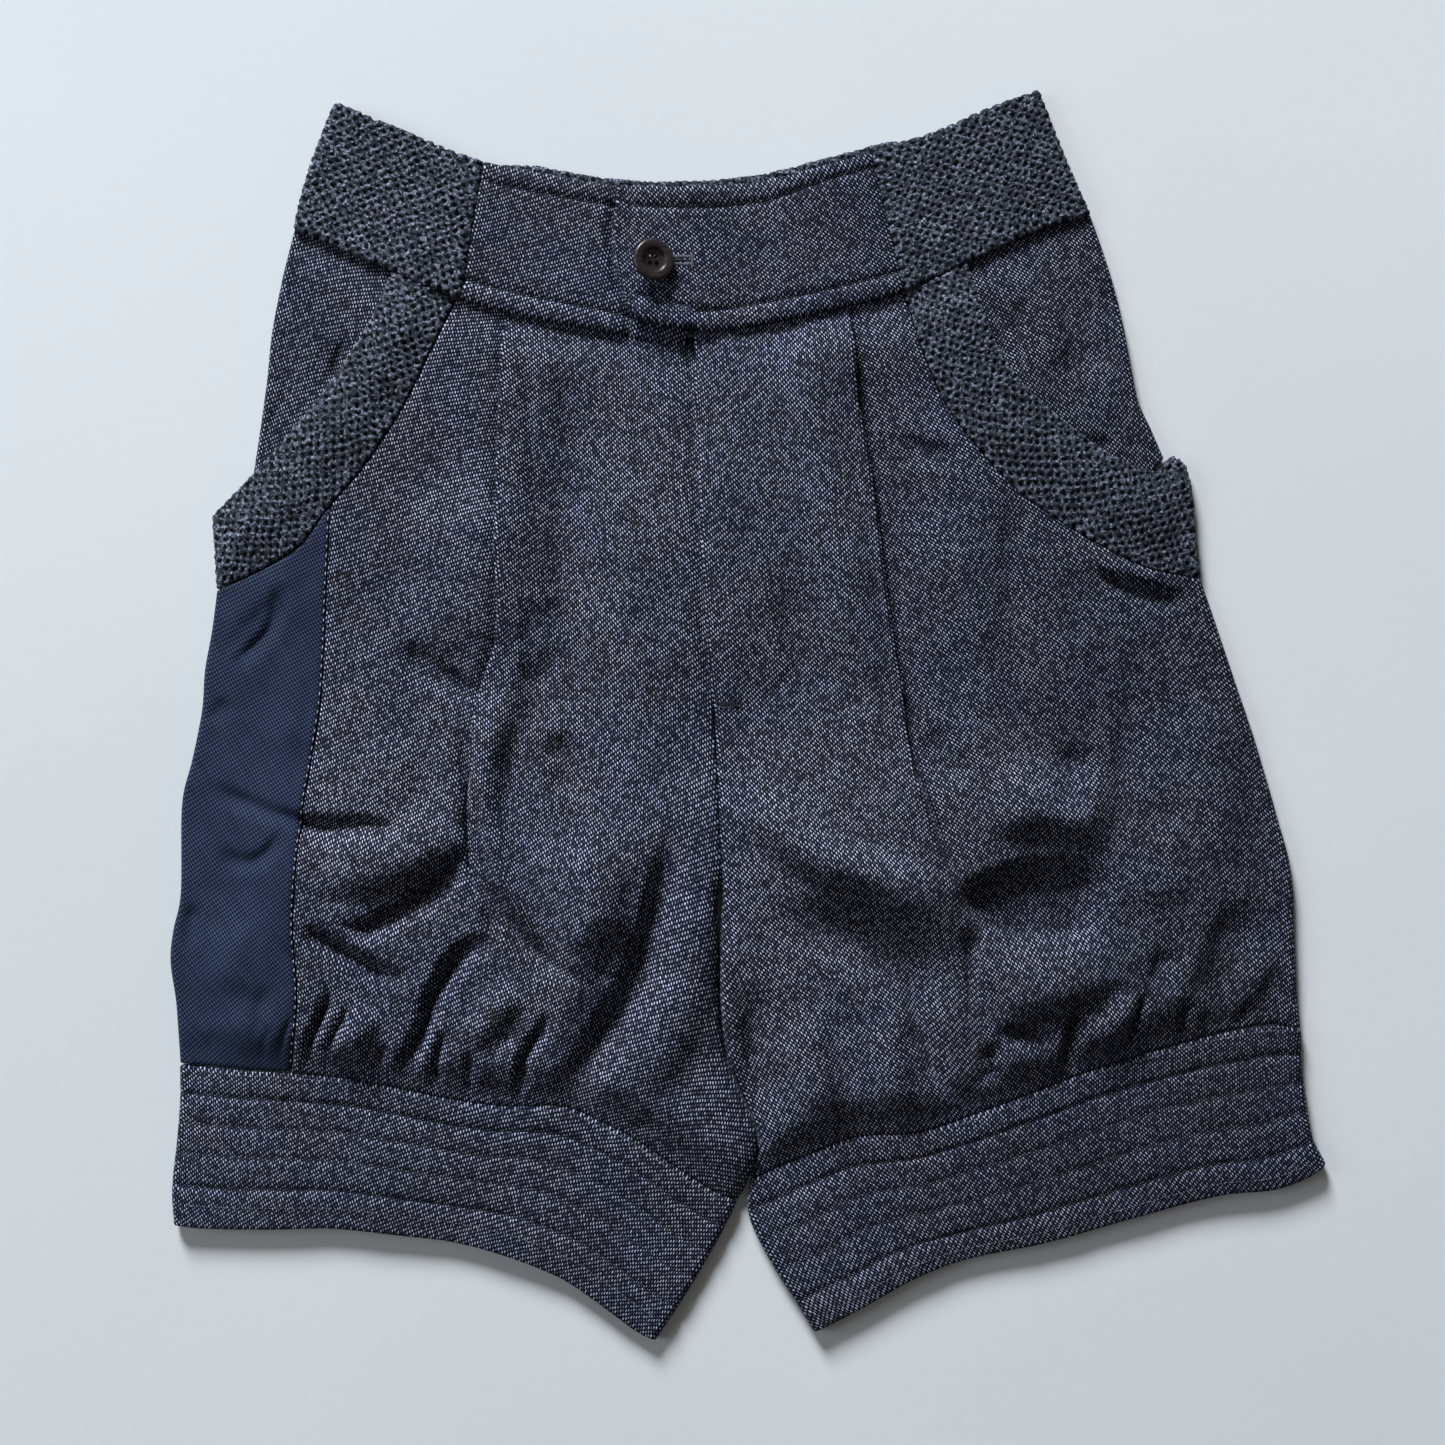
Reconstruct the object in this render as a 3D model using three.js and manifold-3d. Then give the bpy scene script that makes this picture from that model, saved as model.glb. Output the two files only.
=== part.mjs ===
// Wool shorts laid flat, front up. Millimetres, +Z up, +Y towards the waist, +X towards the wearer's left.
// Every cloth piece is a thin wall: a net of sections between its cut edges, given its thickness along each section.
import * as THREE from "three";
import { mergeVertices } from "three/addons/utils/BufferGeometryUtils.js";
import Module from "manifold-3d";

// ---------------------------------------------------------------- sizes
const WOOL = 1.5; // wall of one layer of birdseye wool
const BAND = 2.4; // waistband front: folded wool
const KNIT = 3.0; // knit waistband
const WELT = 2.4; // knit pocket welt
const CUFF = 2.6; // turned-up double cuff
const GAP = 0.3; // between pieces at a seam
const UNDER = 11; // how far the cloth runs on beneath, past a side fold
const REST_SIDE = 4.9; // height of the front cloth's middle surface near the side folds
const REST_MIDDLE = 6.4; // and over the middle of each leg
const BAND_HEIGHT = 6.2; // height of the waistband front's middle surface
const CUFF_HEIGHT = 5.6; // height of the cuff fronts' middle surface
const SEAM_HEIGHT = 3.0; // height of the leg cloth where it enters the waist seam
const FLY_STEP = 1.95; // rise of the lapping front over the one beneath
const WELT_STEP = 2.75; // rise of the welt over the hip yoke
const TAB_STEP = 2.9; // rise of the waistband tab over the end beneath
const PLEAT_STEP = 1.9; // between the layers of a pleat
const BACK_RISE = 4.2; // how far the back waistband shows above the front one
const BUTTON = { x: -42, y: 207.3, radius: 9.5, thick: 3.6, rim: 1.3, hole: 1.0, spread: 2.6, tilt: 18, lift: 3.2 };

// ---------------------------------------------------------------- cut edges
// The waistband, section by section from the wearer's right to the left.
const WAIST = [
  { topX: -187.5, topY: 279.1, lowX: -206.1, lowY: 220.9 },
  { topX: -157, topY: 266.4, lowX: -169.8, lowY: 205.5 },
  { topX: -119.3, topY: 251.8, lowX: -129.8, lowY: 189.1 },
  { topX: -91.1, topY: 245.9, lowX: -95.7, lowY: 180 },
  { topX: -58.4, topY: 240.5, lowX: -60.2, lowY: 174.5 },
  { topX: -24.3, topY: 240, lowX: -23, lowY: 173.2 },
  { topX: 6.6, topY: 242.7, lowX: 15.7, lowY: 179.1 },
  { topX: 33.9, topY: 249.5, lowX: 45.2, lowY: 185.5 },
  { topX: 57.5, topY: 255.9, lowX: 72.5, lowY: 192.7 },
  { topX: 88.4, topY: 266.4, lowX: 104.3, lowY: 207.3 },
  { topX: 111.1, topY: 276.4, lowX: 131.6, lowY: 219.5 },
  { topX: 133.9, topY: 284.5, lowX: 157.5, lowY: 227.7 },
];
// Side ends of the waistband, from its top edge to its seam.
const WAIST_END_RIGHT = [{ x: -187.5, y: 279.1 }, { x: -198, y: 251.8 }, { x: -203.9, y: 231.4 }, { x: -206.1, y: 220.9 }];
const WAIST_END_LEFT = [{ x: 133.9, y: 284.5 }, { x: 143, y: 260.9 }, { x: 153.5, y: 236.5 }, { x: 157.5, y: 227.7 }];
// Where the knit side pieces meet the woven front ones: rows of WAIST.
const KNIT_SEAM_RIGHT = 2, KNIT_SEAM_LEFT = 8;
// The end of the band that lies beneath the tab, and the tab's own edge with its cut-off corner.
const UNDER_END = { topX: -31.6, lowX: -29.8 };
const TAB_EDGE = [{ x: -58.4, y: 240.5 }, { x: -59.8, y: 210.9 }, { x: -55.2, y: 191.8 }, { x: -48, y: 178.2 }];
const TAB_CORNER = [{ x: -48, y: 178.2 }, { x: -36.6, y: 174.1 }, { x: -23, y: 173.2 }];

// Pocket mouths and the seams below the welts, from the side to the waist seam.
const MOUTH_RIGHT = [
  { x: -243, y: 90.5 }, { x: -223, y: 110.9 }, { x: -207, y: 129.1 }, { x: -188.9, y: 151.8 }, { x: -170.7, y: 179.1 }, { x: -161.6, y: 202.1 },
];
const MOUTH_LEFT = [
  { x: 198.9, y: 112.3 }, { x: 183.9, y: 111.9 }, { x: 161.1, y: 121.5 }, { x: 147.5, y: 131.5 }, { x: 129.3, y: 147.3 }, { x: 115.7, y: 165.5 }, { x: 108.2, y: 183.6 }, { x: 101.1, y: 205.9 },
];
const WELT_SEAM_RIGHT = [
  { x: -241.1, y: 56.4 }, { x: -220.7, y: 65.5 }, { x: -202.5, y: 76.8 }, { x: -188.9, y: 95 }, { x: -175.2, y: 110.9 }, { x: -157, y: 138.2 }, { x: -143.4, y: 165.5 }, { x: -132, y: 190 },
];
const WELT_SEAM_LEFT = [
  { x: 208, y: 60.9 }, { x: 183.9, y: 65.5 }, { x: 161.1, y: 76.8 }, { x: 129.3, y: 97.3 }, { x: 106.6, y: 120 }, { x: 90.7, y: 142.7 }, { x: 79.3, y: 170 }, { x: 72.5, y: 192.7 },
];
const WELT_END_RIGHT = [{ x: -243, y: 90.5 }, { x: -242, y: 74.5 }, { x: -241.1, y: 56.4 }];
const WELT_END_LEFT = [{ x: 198.9, y: 112.3 }, { x: 203.4, y: 101.8 }, { x: 205.7, y: 79.1 }, { x: 208, y: 60.9 }];
// Hip yokes: the side fold, and the edge that runs on beneath the welt.
const YOKE_SIDE_RIGHT = [
  { x: -206.1, y: 220.9 }, { x: -211.6, y: 197.3 }, { x: -216.1, y: 174.5 }, { x: -218.4, y: 151.8 }, { x: -221.6, y: 129.1 }, { x: -223.9, y: 113.5 },
];
const YOKE_INNER_RIGHT = [
  { x: -155.2, y: 199.3 }, { x: -163.4, y: 176.8 }, { x: -174.3, y: 158.6 }, { x: -188, y: 139.1 }, { x: -202.5, y: 120.9 }, { x: -212.3, y: 108.5 },
];
const YOKE_SIDE_LEFT = [
  { x: 157.5, y: 227.7 }, { x: 163.4, y: 210.9 }, { x: 170.2, y: 188.2 }, { x: 174.8, y: 165.5 }, { x: 179.3, y: 142.7 }, { x: 185.1, y: 130.1 }, { x: 188.8, y: 121.5 },
];
const YOKE_INNER_LEFT = [
  { x: 95.2, y: 203 }, { x: 102.5, y: 180 }, { x: 110.2, y: 160.9 }, { x: 123.9, y: 141.8 }, { x: 143, y: 126.3 }, { x: 158.9, y: 115.4 }, { x: 175, y: 107.4 },
];
// The seam between the right front and the side panel, from the welt to the cuff.
const SELVEDGE = [
  { x: -188.9, y: 95 }, { x: -191.1, y: 51.8 }, { x: -193.4, y: 6.4 }, { x: -200.2, y: -39.1 }, { x: -203.9, y: -75.5 }, { x: -204.8, y: -98.2 }, { x: -203, y: -130 }, { x: -207, y: -163.6 },
];
// Side folds of the legs, from the welt to the cuff.
const SIDE_RIGHT = [
  { x: -241.1, y: 56.4 }, { x: -243.4, y: 38.2 }, { x: -246.6, y: 20 }, { x: -248, y: 1.8 }, { x: -252.5, y: -20.9 }, { x: -257, y: -39.1 }, { x: -258, y: -84.5 }, { x: -261.1, y: -98.2 }, { x: -262.5, y: -111.8 }, { x: -259.8, y: -132.3 }, { x: -258, y: -159.5 },
];
const SIDE_LEFT = [
  { x: 208, y: 60.9 }, { x: 213.4, y: 45 }, { x: 224.8, y: 10.9 }, { x: 233.9, y: -16.4 }, { x: 243, y: -48.2 }, { x: 248.9, y: -70.9 }, { x: 250.7, y: -105 }, { x: 252, y: -130 }, { x: 253.4, y: -143.6 },
];
// Fly, centre seam and inner leg: the right front's edge, which runs on beneath the fly, and the left front's.
const CENTRE_RIGHT = [
  { x: -13.4, y: 173.6 }, { x: -11.6, y: 133.6 }, { x: -9.8, y: 88.2 }, { x: -8.9, y: 51.8 }, { x: -10.7, y: 24.5 }, { x: -14.3, y: 3.6 }, { x: -13, y: -25.5 }, { x: -11.6, y: -55 }, { x: -10.7, y: -70.9 },
  { x: -13, y: -84.5 }, { x: -13.4, y: -111.8 }, { x: -13, y: -134.5 }, { x: -9.8, y: -157.3 }, { x: -0.2, y: -180 }, { x: 4.3, y: -193.6 }, { x: 0.2, y: -214.1 }, { x: -3.4, y: -221.8 },
];
const CENTRE_LEFT = [
  { x: -23.4, y: 173.2 }, { x: -23, y: 142.7 }, { x: -21.6, y: 113.2 }, { x: -20.2, y: 83.6 }, { x: -18.9, y: 56.4 }, { x: -17, y: 29.1 }, { x: -14.3, y: 3.6 }, { x: -13, y: -25.5 }, { x: -11.6, y: -55 }, { x: -10.7, y: -70.9 },
  { x: -10.6, y: -84.5 }, { x: -10.6, y: -111.8 }, { x: -10.2, y: -134.5 }, { x: -7, y: -157.3 }, { x: 2.6, y: -180 }, { x: 7.2, y: -193.6 }, { x: 4.6, y: -204.4 }, { x: 2.6, y: -211.8 },
];
// Cuff seams from the side to the inner leg, hems, and the cuffs' ends.
const CUFF_SEAM_RIGHT = [
  { x: -258, y: -159.5 }, { x: -225.2, y: -162.7 }, { x: -207, y: -163.6 }, { x: -179.8, y: -166.4 }, { x: -157, y: -170.9 }, { x: -134.3, y: -175.5 }, { x: -111.6, y: -178.6 }, { x: -81.6, y: -179.1 }, { x: -66.1, y: -185.5 }, { x: -52.5, y: -192.3 }, { x: -33, y: -205.5 }, { x: -16.1, y: -216.4 }, { x: -3.4, y: -221.8 },
];
const CUFF_SEAM_LEFT = [
  { x: 253.4, y: -143.6 }, { x: 242.5, y: -141.8 }, { x: 218.9, y: -145 }, { x: 191.1, y: -152.3 }, { x: 163.4, y: -160.5 }, { x: 129.8, y: -173.2 }, { x: 107.5, y: -181.4 }, { x: 79.8, y: -190.5 }, { x: 49.8, y: -192.7 }, { x: 35.2, y: -198.2 }, { x: 17, y: -205.5 }, { x: 2.6, y: -211.8 },
];
const HEM_RIGHT = [
  { x: -260.7, y: -233.2 }, { x: -248, y: -234.5 }, { x: -216.1, y: -235 }, { x: -188.9, y: -234.5 }, { x: -157, y: -237.7 }, { x: -134.3, y: -240.5 }, { x: -111.6, y: -246.4 }, { x: -84.3, y: -257.3 }, { x: -66.1, y: -269.5 }, { x: -48, y: -282.7 }, { x: -41.1, y: -285.9 },
];
const HEM_LEFT = [
  { x: 264.8, y: -205 }, { x: 260.7, y: -209.1 }, { x: 242.5, y: -216.8 }, { x: 218.9, y: -219.1 }, { x: 177, y: -230 }, { x: 135.7, y: -241.4 }, { x: 100.7, y: -248.6 }, { x: 79.8, y: -256.4 }, { x: 52, y: -271.8 }, { x: 31.6, y: -282.3 },
];
const CUFF_SIDE_RIGHT = [{ x: -258, y: -159.5 }, { x: -258, y: -175.5 }, { x: -259.3, y: -193.6 }, { x: -261.6, y: -216.4 }, { x: -260.7, y: -233.2 }];
const CUFF_INNER_RIGHT = [{ x: -3.4, y: -221.8 }, { x: -11.6, y: -238.2 }, { x: -25.2, y: -261.8 }, { x: -41.1, y: -285.9 }];
const CUFF_SIDE_LEFT = [{ x: 253.4, y: -143.6 }, { x: 253.9, y: -161.8 }, { x: 255.7, y: -175.5 }, { x: 258.9, y: -193.6 }, { x: 264.8, y: -205 }];
const CUFF_INNER_LEFT = [{ x: 2.6, y: -211.8 }, { x: 1.1, y: -226.8 }, { x: 11.1, y: -249.1 }, { x: 24.8, y: -270.9 }, { x: 31.6, y: -282.3 }];

// ---------------------------------------------------------------- pleats and folds
// Fold edge of each pleat, from the waist seam down; below the pleat it is only the line the sections keep to.
const PLEAT_RIGHT = [
  { x: -109.3, y: 184 }, { x: -110.2, y: 142.7 }, { x: -111.6, y: 110.9 }, { x: -111.6, y: 70 }, { x: -111.6, y: 33.6 }, { x: -117.5, y: 15.5 }, { x: -123, y: -11.8 }, { x: -123, y: -39.1 }, { x: -118.4, y: -70.9 }, { x: -111.6, y: -89.1 }, { x: -107, y: -178 },
];
const PLEAT_LEFT = [
  { x: 47.5, y: 188 }, { x: 49.8, y: 142.7 }, { x: 54.3, y: 120 }, { x: 58.9, y: 88.2 }, { x: 63.4, y: 51.8 }, { x: 68.9, y: 15.5 }, { x: 72.5, y: -11.8 }, { x: 79.3, y: -39.1 }, { x: 90.7, y: -80 }, { x: 98.4, y: -94.5 }, { x: 101, y: -180 },
];
// How deep a pleat runs beneath itself at each height, and how much its layers step up.
const PLEAT_DEPTH = [
  { y: 190, deep: 13, step: 1 }, { y: 40, deep: 12, step: 1 }, { y: -10, deep: 2, step: 1 }, { y: -35, deep: -12, step: 0.9 }, { y: -75, deep: -18, step: 0.35 }, { y: -100, deep: -18, step: 0 },
];
// The largest folds: from, to, how far the line bows, half its width, and its rise (a trough is negative).
const FOLDS = [
  { name: "right leg, long trough to the cuff", x0: -35.2, y0: -45.9, x1: -93.4, y1: -177.3, bow: -8.2, half: 9.1, rise: -3.2 },
  { name: "right leg, swell inside it", x0: -15.2, y0: -66.4, x1: -66.1, y1: -175.5, bow: -9.1, half: 19.1, rise: 3.4 },
  { name: "right leg, swell outside it", x0: -52.5, y0: -39.1, x1: -111.6, y1: -170.9, bow: -6.4, half: 14.5, rise: 2.6 },
  { name: "right leg, fold at mid length", x0: -198, y0: -86.8, x1: -119.8, y1: -58.2, bow: -2.7, half: 8.2, rise: -2.6 },
  { name: "right leg, shelf above it", x0: -202.5, y0: -61.8, x1: -125.2, y1: -39.1, bow: 0, half: 17.3, rise: 3.2 },
  { name: "right leg, fold down to the cuff", x0: -116.1, y0: -99.1, x1: -160.2, y1: -170, bow: 11.8, half: 8.2, rise: -2.6 },
  { name: "right leg, swell above the cuff", x0: -188.9, y0: -130, x1: -166.1, y1: -157.3, bow: 0, half: 18.2, rise: 2.4 },
  { name: "right leg, run of the pleat", x0: -109.3, y0: 33.6, x1: -121.6, y1: -75.5, bow: 6.4, half: 15.5, rise: 2.8 },
  { name: "left leg, drag from the crotch", x0: -4.8, y0: -39.1, x1: 95.2, y1: -86.8, bow: -4.5, half: 13.6, rise: 4 },
  { name: "left leg, trough below it", x0: 24.8, y0: -84.5, x1: 93, y1: -105, bow: -3.6, half: 13.6, rise: -2.6 },
  { name: "left leg, hollow at mid length", x0: 104.3, y0: -91.4, x1: 169.3, y1: -68.6, bow: 3.6, half: 13.6, rise: -3.2 },
  { name: "left leg, lip of the hollow", x0: 88.4, y0: -118.6, x1: 170.2, y1: -102.7, bow: 4.5, half: 16.4, rise: 3.2 },
  { name: "left leg, trough at the side", x0: 223.9, y0: -91.4, x1: 208, y1: -125.5, bow: 2.7, half: 6.4, rise: -2.6 },
  { name: "left leg, ridge at the side", x0: 234.8, y0: -98.2, x1: 219.3, y1: -136.8, bow: 2.7, half: 9.1, rise: 3 },
  { name: "left leg, fold down to the cuff", x0: 149.8, y0: -130, x1: 129.3, y1: -171.8, bow: -5.5, half: 7.3, rise: -2.4 },
  { name: "left leg, run of the pleat", x0: 72.5, y0: -14.1, x1: 98.4, y1: -95.9, bow: -3.6, half: 11.8, rise: 2.6 },
  { name: "left hip, swell", x0: 120.2, y0: 83.6, x1: 133.9, y1: -20.9, bow: 0, half: 27.3, rise: 1.6 },
  { name: "left leg, swell below the pocket", x0: 154.3, y0: 63.2, x1: 202, y1: 51.8, bow: 0, half: 10, rise: 2 },
  { name: "side panel, top fold", x0: -215.2, y0: 54.1, x1: -235.2, y1: 22.7, bow: -3.6, half: 5.9, rise: -2.4 },
  { name: "side panel, ridge above it", x0: -245.7, y0: 33.6, x1: -202.5, y1: 70, bow: 0, half: 9.1, rise: 2.2 },
  { name: "side panel, middle fold", x0: -248.9, y0: -30, x1: -182, y1: -50.9, bow: 1.8, half: 7.7, rise: -2.4 },
  { name: "side panel, low fold", x0: -245.7, y0: -61.8, x1: -208, y1: -51.8, bow: 6.4, half: 6.4, rise: -2 },
  { name: "right yoke, dip", x0: -179.8, y0: 172.3, x1: -195.2, y1: 149.5, bow: 0, half: 8.2, rise: -1.6 },
  { name: "left yoke, dip", x0: 108.9, y0: 188.2, x1: 163.4, y1: 124.5, bow: 0, half: 9.1, rise: -1.6 },
];

// ---------------------------------------------------------------- lines
const STEPS = 8; // points on a smooth line for each row of its table

function line(rows) {
  const curve = new THREE.CatmullRomCurve3(rows.map((r) => new THREE.Vector3(r.x, r.y, 0)), false, "centripetal");
  return curve.getPoints(STEPS * (rows.length - 1)).map((p) => new THREE.Vector2(p.x, p.y));
}
const rowsOf = (points, from, to) => points.slice(from * STEPS, to * STEPS + 1);
const back = (points) => points.slice().reverse();
const join = (...parts) => parts.reduce((a, b) => a.concat(a.length ? b.slice(1) : b), []);
const straight = (a, b) => [a.clone(), b.clone()];
const last = (points) => points[points.length - 1];

/** The point at a share of a line's length. */
function at(points, share) {
  if (!points.lengths) {
    points.lengths = [0];
    for (let i = 1; i < points.length; i++) points.lengths.push(points.lengths[i - 1] + points[i].distanceTo(points[i - 1]));
  }
  const want = THREE.MathUtils.clamp(share, 0, 1) * last(points.lengths);
  let i = 1;
  while (i < points.length - 1 && points.lengths[i] < want) i++;
  const span = points.lengths[i] - points.lengths[i - 1] || 1;
  return points[i - 1].clone().lerp(points[i], (want - points.lengths[i - 1]) / span);
}
/** Y on a line that runs one way in X, and X on one that runs one way in Y. */
function crossing(points, key, other, value) {
  for (let i = 1; i < points.length; i++) {
    const a = points[i - 1], b = points[i];
    if ((a[key] - value) * (b[key] - value) <= 0 && a[key] !== b[key])
      return a[other] + ((b[other] - a[other]) * (value - a[key])) / (b[key] - a[key]);
  }
  const ends = [points[0], last(points)];
  return Math.abs(ends[0][key] - value) < Math.abs(ends[1][key] - value) ? ends[0][other] : ends[1][other];
}
const yAt = (points, x) => crossing(points, "x", "y", x);
const xAt = (points, y) => crossing(points, "y", "x", y);
/** The stretch of a line between two places along X, in the order asked for. */
function between(points, x0, x1) {
  const low = Math.min(x0, x1), high = Math.max(x0, x1);
  const inside = points.filter((p) => p.x > low + 0.01 && p.x < high - 0.01);
  const run = [new THREE.Vector2(low, yAt(points, low)), ...inside.sort((a, b) => a.x - b.x), new THREE.Vector2(high, yAt(points, high))];
  return x0 < x1 ? run : run.reverse();
}

/** A point inside four cut edges: u from the outer edge to the inner one, v from the top edge to the low one. */
function spread({ outer, inner, top, low }) {
  const corner = [outer[0], inner[0], last(outer), last(inner)];
  return (u, v) => {
    const p = at(top, u).multiplyScalar(1 - v).addScaledVector(at(low, u), v);
    p.addScaledVector(at(outer, v), 1 - u).addScaledVector(at(inner, v), u);
    p.addScaledVector(corner[0], -(1 - u) * (1 - v)).addScaledVector(corner[1], -u * (1 - v));
    return p.addScaledVector(corner[2], -(1 - u) * v).addScaledVector(corner[3], -u * v);
  };
}

const soft = (t) => { const c = THREE.MathUtils.clamp(t, 0, 1); return c * c * (3 - 2 * c); };
const mix = (a, b, t) => a + (b - a) * t;
/** A value read from a table whose rows go down in y. */
function read(table, y, key) {
  if (y >= table[0].y) return table[0][key];
  for (let i = 1; i < table.length; i++)
    if (y >= table[i].y) return mix(table[i][key], table[i - 1][key], (y - table[i].y) / (table[i - 1].y - table[i].y));
  return last(table)[key];
}

// ---------------------------------------------------------------- edges as lines
const waistTop = line(WAIST.map((r) => ({ x: r.topX, y: r.topY })));
const waistLow = line(WAIST.map((r) => ({ x: r.lowX, y: r.lowY })));
const onWaist = (row) => ({ x: row.x, y: yAt(waistLow, row.x) });
const toWaist = (rows) => rows.slice(0, -1).concat([onWaist(last(rows))]);
const fromWaist = (rows) => [onWaist(rows[0])].concat(rows.slice(1));
const mouthRight = line(toWaist(MOUTH_RIGHT)), mouthLeft = line(toWaist(MOUTH_LEFT));
const weltSeamRight = line(toWaist(WELT_SEAM_RIGHT)), weltSeamLeft = line(toWaist(WELT_SEAM_LEFT));
const weltEndRight = line(WELT_END_RIGHT), weltEndLeft = line(WELT_END_LEFT);
const yokeSideRight = line(fromWaist(YOKE_SIDE_RIGHT)), yokeSideLeft = line(fromWaist(YOKE_SIDE_LEFT));
const yokeInnerRight = line(fromWaist(YOKE_INNER_RIGHT)), yokeInnerLeft = line(fromWaist(YOKE_INNER_LEFT));
const selvedge = line(SELVEDGE), sideRight = line(SIDE_RIGHT), sideLeft = line(SIDE_LEFT);
const centreRight = line(fromWaist(CENTRE_RIGHT)), centreLeft = line(fromWaist(CENTRE_LEFT));
const cuffSeamRight = line(CUFF_SEAM_RIGHT), cuffSeamLeft = line(CUFF_SEAM_LEFT);
const hemRight = line(HEM_RIGHT), hemLeft = line(HEM_LEFT);
const cuffSideRight = line(CUFF_SIDE_RIGHT), cuffSideLeft = line(CUFF_SIDE_LEFT);
const cuffInnerRight = line(CUFF_INNER_RIGHT), cuffInnerLeft = line(CUFF_INNER_LEFT);
const outlineRight = join(yokeSideRight, straight(last(yokeSideRight), weltEndRight[0]), weltEndRight, sideRight);
const outlineLeft = join(yokeSideLeft, straight(last(yokeSideLeft), weltEndLeft[0]), weltEndLeft, sideLeft);
const CORNER = 3; // the row of WELT_SEAM_RIGHT where the side panel's seam starts
const CROTCH = 8; // the row of CENTRE_RIGHT where the inner leg starts

// ---------------------------------------------------------------- height of the front cloth
const foldLines = FOLDS.map((f) => {
  const a = new THREE.Vector2(f.x0, f.y0), b = new THREE.Vector2(f.x1, f.y1);
  const side = new THREE.Vector2(a.y - b.y, b.x - a.x).normalize();
  const mid = a.clone().add(b).multiplyScalar(0.5).addScaledVector(side, 2 * f.bow);
  return { ...f, points: new THREE.QuadraticBezierCurve(a, mid, b).getPoints(14) };
});
function folds(x, y) {
  let sum = 0;
  for (const f of foldLines) {
    let near = Infinity, where = 0;
    f.points.forEach((p, i) => {
      const d = Math.hypot(p.x - x, p.y - y);
      if (d < near) [near, where] = [d, i / (f.points.length - 1)];
    });
    if (near >= f.half) continue;
    const across = (1 - (near / f.half) ** 2) ** 2;
    sum += f.rise * across * soft(Math.min(where, 1 - where) / 0.25 + 0.25);
  }
  return sum;
}
/** Middle surface of the front cloth, with no step of its own. */
function height(x, y) {
  const inward = Math.min(x - xAt(outlineRight, y), xAt(outlineLeft, y) - x);
  const full = mix(REST_SIDE, REST_MIDDLE, soft(inward / 55)) + folds(x, y);
  const below = yAt(waistLow, x) - y;
  return Math.max(mix(SEAM_HEIGHT, full, soft(below / 28)), 2.75);
}
/** The inner leg comes down to the seam with the back. */
const innerLeg = (z, from, y) => mix(z, 1.1 * WOOL + WOOL / 2 + GAP, (1 - soft(from / 13)) * soft((-66 - y) / 18));

// ---------------------------------------------------------------- walls
/** Middle points of one section, given a wall: offset to both sides in the plane of the section. */
function wall(points, along, thick) {
  const s = points.map((p) => p.x * along.x + p.y * along.y);
  const turn = [];
  for (let i = 1; i < points.length; i++) {
    const ds = s[i] - s[i - 1], dz = points[i].z - points[i - 1].z, n = Math.hypot(ds, dz) || 1;
    turn.push([-dz / n, ds / n]);
  }
  return points.map((p, i) => {
    const a = turn[Math.max(i - 1, 0)], b = turn[Math.min(i, turn.length - 1)];
    const m = thick / 2 / Math.max(1 + a[0] * b[0] + a[1] * b[1], 0.6);
    const ns = (a[0] + b[0]) * m, nz = (a[1] + b[1]) * m;
    const push = (k) => new THREE.Vector3(p.x + k * ns * along.x, p.y + k * ns * along.y, p.z + k * nz);
    return [push(1), push(-1)];
  });
}

/** A closed wall from sections that all have the same number of points. */
function solid(sections) {
  const n = sections.length, m = sections[0].length, points = [], faces = [];
  for (const row of sections) for (const pair of row) points.push(...pair);
  const id = (j, i, k) => 2 * (j * m + i) + k;
  const quad = (a, b, c, d) => faces.push([a, b, c], [a, c, d]);
  for (let j = 0; j < n - 1; j++)
    for (let i = 0; i < m - 1; i++) {
      quad(id(j, i, 0), id(j, i + 1, 0), id(j + 1, i + 1, 0), id(j + 1, i, 0));
      quad(id(j, i, 1), id(j + 1, i, 1), id(j + 1, i + 1, 1), id(j, i + 1, 1));
    }
  for (let i = 0; i < m - 1; i++) {
    quad(id(0, i, 0), id(0, i, 1), id(0, i + 1, 1), id(0, i + 1, 0));
    quad(id(n - 1, i, 0), id(n - 1, i + 1, 0), id(n - 1, i + 1, 1), id(n - 1, i, 1));
  }
  for (let j = 0; j < n - 1; j++) {
    quad(id(j, 0, 0), id(j + 1, 0, 0), id(j + 1, 0, 1), id(j, 0, 1));
    quad(id(j, m - 1, 0), id(j, m - 1, 1), id(j + 1, m - 1, 1), id(j + 1, m - 1, 0));
  }
  let volume = 0;
  for (const [a, b, c] of faces) volume += points[a].dot(points[b].clone().cross(points[c]));
  const flat = faces.flatMap(([a, b, c]) => (volume > 0 ? [a, b, c] : [a, c, b]));
  return new THREE.BufferGeometry()
    .setAttribute("position", new THREE.BufferAttribute(new Float32Array(points.flatMap((p) => p.toArray())), 3))
    .setIndex(flat);
}

/** Middle points of a side fold, from the end beneath to the top, as distance from the outline and height. */
function roundFold(top, thick, under) {
  const r = (top - thick / 2) / 2, centre = thick / 2 + r;
  const points = [{ s: Math.max(under, centre + 1), z: thick / 2 }];
  for (let k = 0; k <= 4; k++) {
    const turn = (k * Math.PI) / 4;
    points.push({ s: centre - r * Math.sin(turn), z: thick / 2 + r - r * Math.cos(turn) });
  }
  return points;
}

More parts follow.
